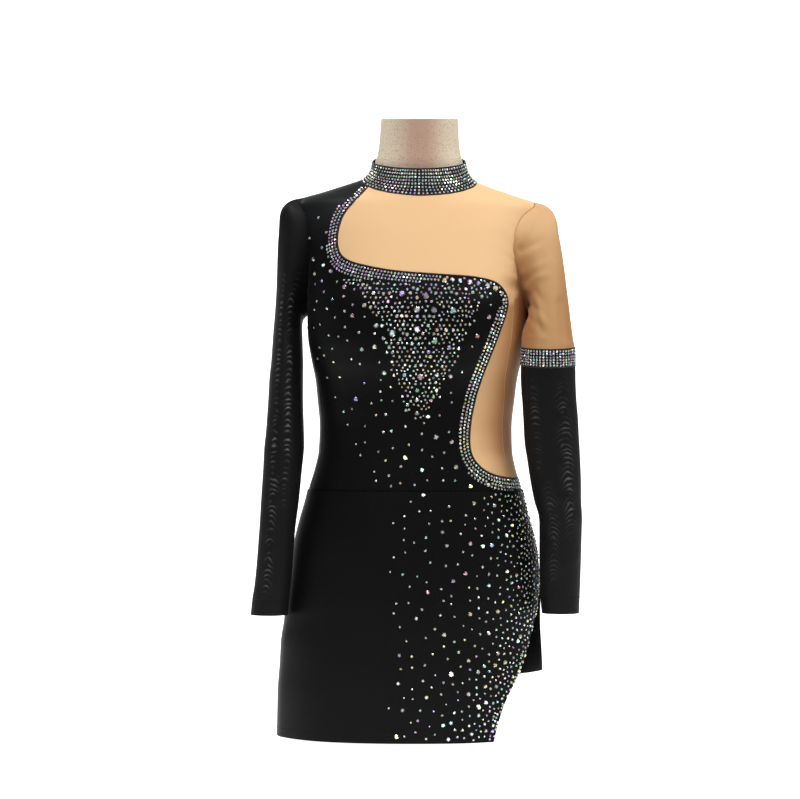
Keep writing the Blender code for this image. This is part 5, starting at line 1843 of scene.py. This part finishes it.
def picture_of(point):
    """Where a point shows in the picture."""
    scale = (point.y - CAMERA_PLACE[1]) / FOCAL_PIXELS
    return (PICTURE_CENTRE + (point.x - CAMERA_PLACE[0]) / scale,
            PICTURE_CENTRE - (point.z - CAMERA_PLACE[2]) / scale)


def skirt_stones(edge, join):
    """Stones along the skirt's free edge, thinning out towards the middle."""
    stones = Stones("crystals_skirt", "black_jersey")
    for px, py, radius, colour in SKIRT_SPARKLES:
        on_skirt(stones, skirt_from_picture(px, py), radius / 1000.0, sparkle=colour)
    high_end = WAIST_SEAM_Z - 0.003
    for px, py, radius, cool in SKIRT_STONES:
        place = skirt_from_picture(px, py)
        if place and place[1] < high_end:
            on_skirt(stones, place, radius / 1000.0, high=cool)
    line = list(edge) + list(join[1:])
    seen = np.array([picture_of(skirt_point(*place)) for place in line])[::-1]
    for distance in (0.0016, 0.0024, 0.0052, 0.0066, 0.0088):
        inner = shifted(skirt_point, line, -distance)
        for place in walk(skirt_point, inner, 0.0043, start=rng.uniform(0.0, 0.004)):
            if rng.random() < 0.55:
                on_skirt(stones, place, SMALL_STONE * rng.choice((0.85, 1.0, 1.2, 1.45)), high=0.1)
    for i in range(SKIRT_TRIES):
        py = rng.uniform(486.0, 744.0)
        px = rng.uniform(396.0 + 5.0 * math.sin(0.13 * py) + 3.0 * math.sin(0.37 * py), 541.0)
        if i % 2:
            px = float(np.interp(py, seen[:, 1], seen[:, 0])) - rng.uniform(0.0, 42.0)
        place = skirt_from_picture(px, py)
        if place is None or place[1] < HEM_Z + 0.003 or place[1] > high_end:
            continue
        row = min(np.searchsorted(seen[:, 1], py), len(seen) - 1)
        if (px < 480.0 and py < 506.0 + 6.0 * math.sin(0.21 * px)) or px > seen[row, 0] - 2.0:
            continue
        away = float(np.hypot(seen[:, 0] - px, seen[:, 1] - py).min())
        spacing = float(np.interp(away, (0.0, 14.0, 28.0, 45.0, 85.0, 115.0, 145.0),
                                  (4.3, 4.7, 6.0, 8.4, 13.2, 18.5, 25.0)))
        radius = SMALL_STONE * rng.choice((0.80, 0.88, 0.95, 1.0, 1.1))
        if away < 40.0 and rng.random() < 0.13:
            radius = SKIRT_STONE
        apart = clamp(spacing * PIXEL - 2.0 * SMALL_STONE, 0.0003, 0.030)
        on_skirt(stones, place, radius, high=0.12, apart=apart * rng.uniform(0.82, 1.08))
    stones.build()


def back_stones(right_part, left_part):
    """The same edging and a lighter fall of stones on the back."""
    stones = Stones("crystals_back", "black_jersey")
    line = list(right_part) + list(left_part[1:])
    edging(stones, line, -1.0, BACK_EDGE_ROWS)
    fence = shifted(figure_point, line, -0.015)
    fence += [(1.05, 0.15), (4.9, 0.15), (4.9, fence[0][1])]
    low_level, high_level = level_of(WAIST_SEAM_Z) + STONE_MARGIN, level_of(0.64)
    tries = [(rng.uniform(1.3, 4.6), rng.uniform(low_level, high_level))
             for _ in range(BACK_TRIES)]
    for (angle, level), within in zip(tries, fenced(fence, tries)):
        if not within:
            continue
        height = FIGURE_CURVES["height"](level)
        off = abs(figure_point(angle, level).x - 0.005)
        half = max(0.006, 0.105 * (1.0 - (0.575 - height) / 0.17))
        away = off / half
        if away < 1.0 and height > 0.41:
            spacing = 0.0075 + 0.003 * away * away
        else:
            spacing = 0.0115 + 0.13 * max(0.0, off - half)
        if height < 0.43:
            spacing = max(spacing, 0.019)
        if spacing > 0.026:
            continue
        radius = (MEDIUM_STONE if rng.random() < 0.10 else SMALL_STONE) * rng.uniform(0.88, 1.1)
        on_figure(stones, (angle, level), radius, high=coolness(height, 0.09),
                  apart=max(0.0004, spacing - 2.0 * SMALL_STONE) * rng.uniform(0.85, 1.1))
    stones.build()


# Back closing

def hooks():
    """Three flat hooks that close the collar at the back."""
    bottom, top = (level_of(collar_height(edge, math.pi)) for edge in (COLLAR_BOTTOM, COLLAR_TOP))
    for i, share in enumerate((0.18, 0.5, 0.82)):
        level = bottom + (top - bottom) * share
        places = []
        for k in range(17):
            turn = math.pi * (k / 16.0 - 0.5)
            places.append((math.pi + 0.045 * math.cos(turn) - 0.02, level + 0.0018 * math.sin(turn)))
        points, normals = surface_line(figure_point, places, COLLAR_OUTER + 0.0010)
        ribbon(f"collar_hook_{i + 1}", points, normals, 0.0010, 0.0006, STEEL)


def back_slit_edges(left_part):
    """Turned edges on both sides of the centre-back opening."""
    levels = spread(left_part[0][1], neck_place(math.pi)[1], 20)
    for name, side in (("left", -1.0), ("right", 1.0)):
        bind("back_opening_edge_" + name, [(math.pi + side * 0.014, level) for level in levels], NUDE,
             0.0016, 0.0005)


def seam_ridges():
    """Seams between front and back, at the shoulders and round the armholes."""
    sides = (("left", ARMHOLE_LEFT, 1, 0.335, NUDE, NUDE_THREAD, "nude_jersey"),
             ("right", ARMHOLE_RIGHT, -1, WAIST_SEAM_Z + 0.002, BLACK, BLACK, "black_jersey"))
    for label, armhole, side, low, finish, _, slot_name in sides:
        places = seam_line(side, low, seam_end(armhole, side)[1] - 0.002)
        bind("seam_side_" + label, places, finish, 0.0008, 0.0003)
    for label, armhole, side, _, _, finish, slot_name in sides:
        places = shoulder_line(armhole, side)[:-1]
        bind("seam_shoulder_" + label, places, finish, 0.0008, 0.0003)
    for label, armhole, side, _, _, finish, slot_name in sides:
        places = [armhole_place(armhole, side, TURN * i / 90) for i in range(90)]
        points, normals = surface_line(figure_point, places, OUTER)
        ribbon("seam_armhole_" + label, points, normals, 0.0010, 0.0005, finish, closed=True)


# Stage, light and camera

def area_light(name, place, target, size, power):
    """Soft square light aimed at a point."""
    light = bpy.data.lights.new(name, "AREA")
    light.shape = "RECTANGLE"
    light.size, light.size_y = size
    light.energy = power
    thing = linked(name, light)
    thing.location = place
    thing.rotation_euler = (Vector(target) - Vector(place)).to_track_quat("-Z", "Y").to_euler()


def stage():
    """White sweep of floor and backdrop, soft lights, and the camera."""
    made, tree, shader, where = new_material("pale_floor", {
        "Roughness": 0.9, "Specular IOR Level": 0.1, "Emission Color": (1.0, 1.0, 1.0, 1.0),
        "Emission Strength": 1.02})
    tree.links.new(blended(tree, noise(tree, where, 3.0), (0.90, 0.90, 0.90), (0.93, 0.93, 0.93)),
                   shader.inputs["Base Color"])
    profile = [(-0.70, 0.0), (2.2, 0.0)]
    profile += [(2.2 + 1.2 * math.sin(a), 1.2 * (1.0 - math.cos(a))) for a in np.linspace(0.1, QUARTER, 14)]
    profile += [(3.4, 2.6)]
    mesh = bpy.data.meshes.new("floor_sweep")
    mesh.from_pydata([(x, y, z) for y, z in profile for x in (-1.8, 1.8)], [],
                     [(2 * i, 2 * i + 1, 2 * i + 3, 2 * i + 2) for i in range(len(profile) - 1)])
    mesh.materials.append(made)
    mesh.shade_smooth()
    linked("floor_sweep", mesh)
    scene = bpy.context.scene
    scene.world = bpy.data.worlds.new("studio")
    scene.world.use_nodes = True
    sky = scene.world.node_tree.nodes["Background"].inputs
    sky["Color"].default_value = (1.0, 1.0, 1.0, 1.0)
    sky["Strength"].default_value = 0.22
    for row in (("key", (-0.45, -0.85, 2.7), (0.0, 0.0, 0.45), (0.9, 0.9), 50.0),
                ("fill", (1.4, -0.8, 2.1), (0.0, 0.0, 0.45), (0.9, 0.9), 30.0),
                ("front", (-0.6, -2.9, 1.0), (0.0, 0.0, 0.4), (0.9, 0.6), 4.0),
                ("rim", (-1.4, 1.4, 1.8), (0.0, 0.0, 0.45), (0.8, 0.8), 8.0)):
        area_light(*row)
    camera = bpy.data.cameras.new("camera")
    camera.lens = CAMERA_LENS
    camera.sensor_width = CAMERA_SENSOR
    scene.camera = linked("camera", camera)
    scene.camera.location = CAMERA_PLACE
    scene.camera.rotation_euler = (QUARTER, 0.0, 0.0)
    scene.view_settings.view_transform = "Standard"


def finish_nodes():
    """Detailed materials for the CAD nodes that stay."""
    for name, finish in (("form_torso", COVER), ("stand_base", STEEL), ("stand_rod_left", STEEL),
                         ("stand_rod_right", STEEL)):
        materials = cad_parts[name].data.materials
        materials.clear()
        materials.append(finish)


def main():
    """Builds every piece."""
    stage()
    finish_nodes()
    line, right_part, left_part = bodice()
    collar()
    edge, join = skirt()
    brief()
    band = sleeves()
    seam_ridges()
    back_slit_edges(left_part)
    hooks()
    collar_stones()
    band_stones(band)
    chest_stones(line)
    skirt_stones(edge, join)
    back_stones(right_part, left_part)


main()
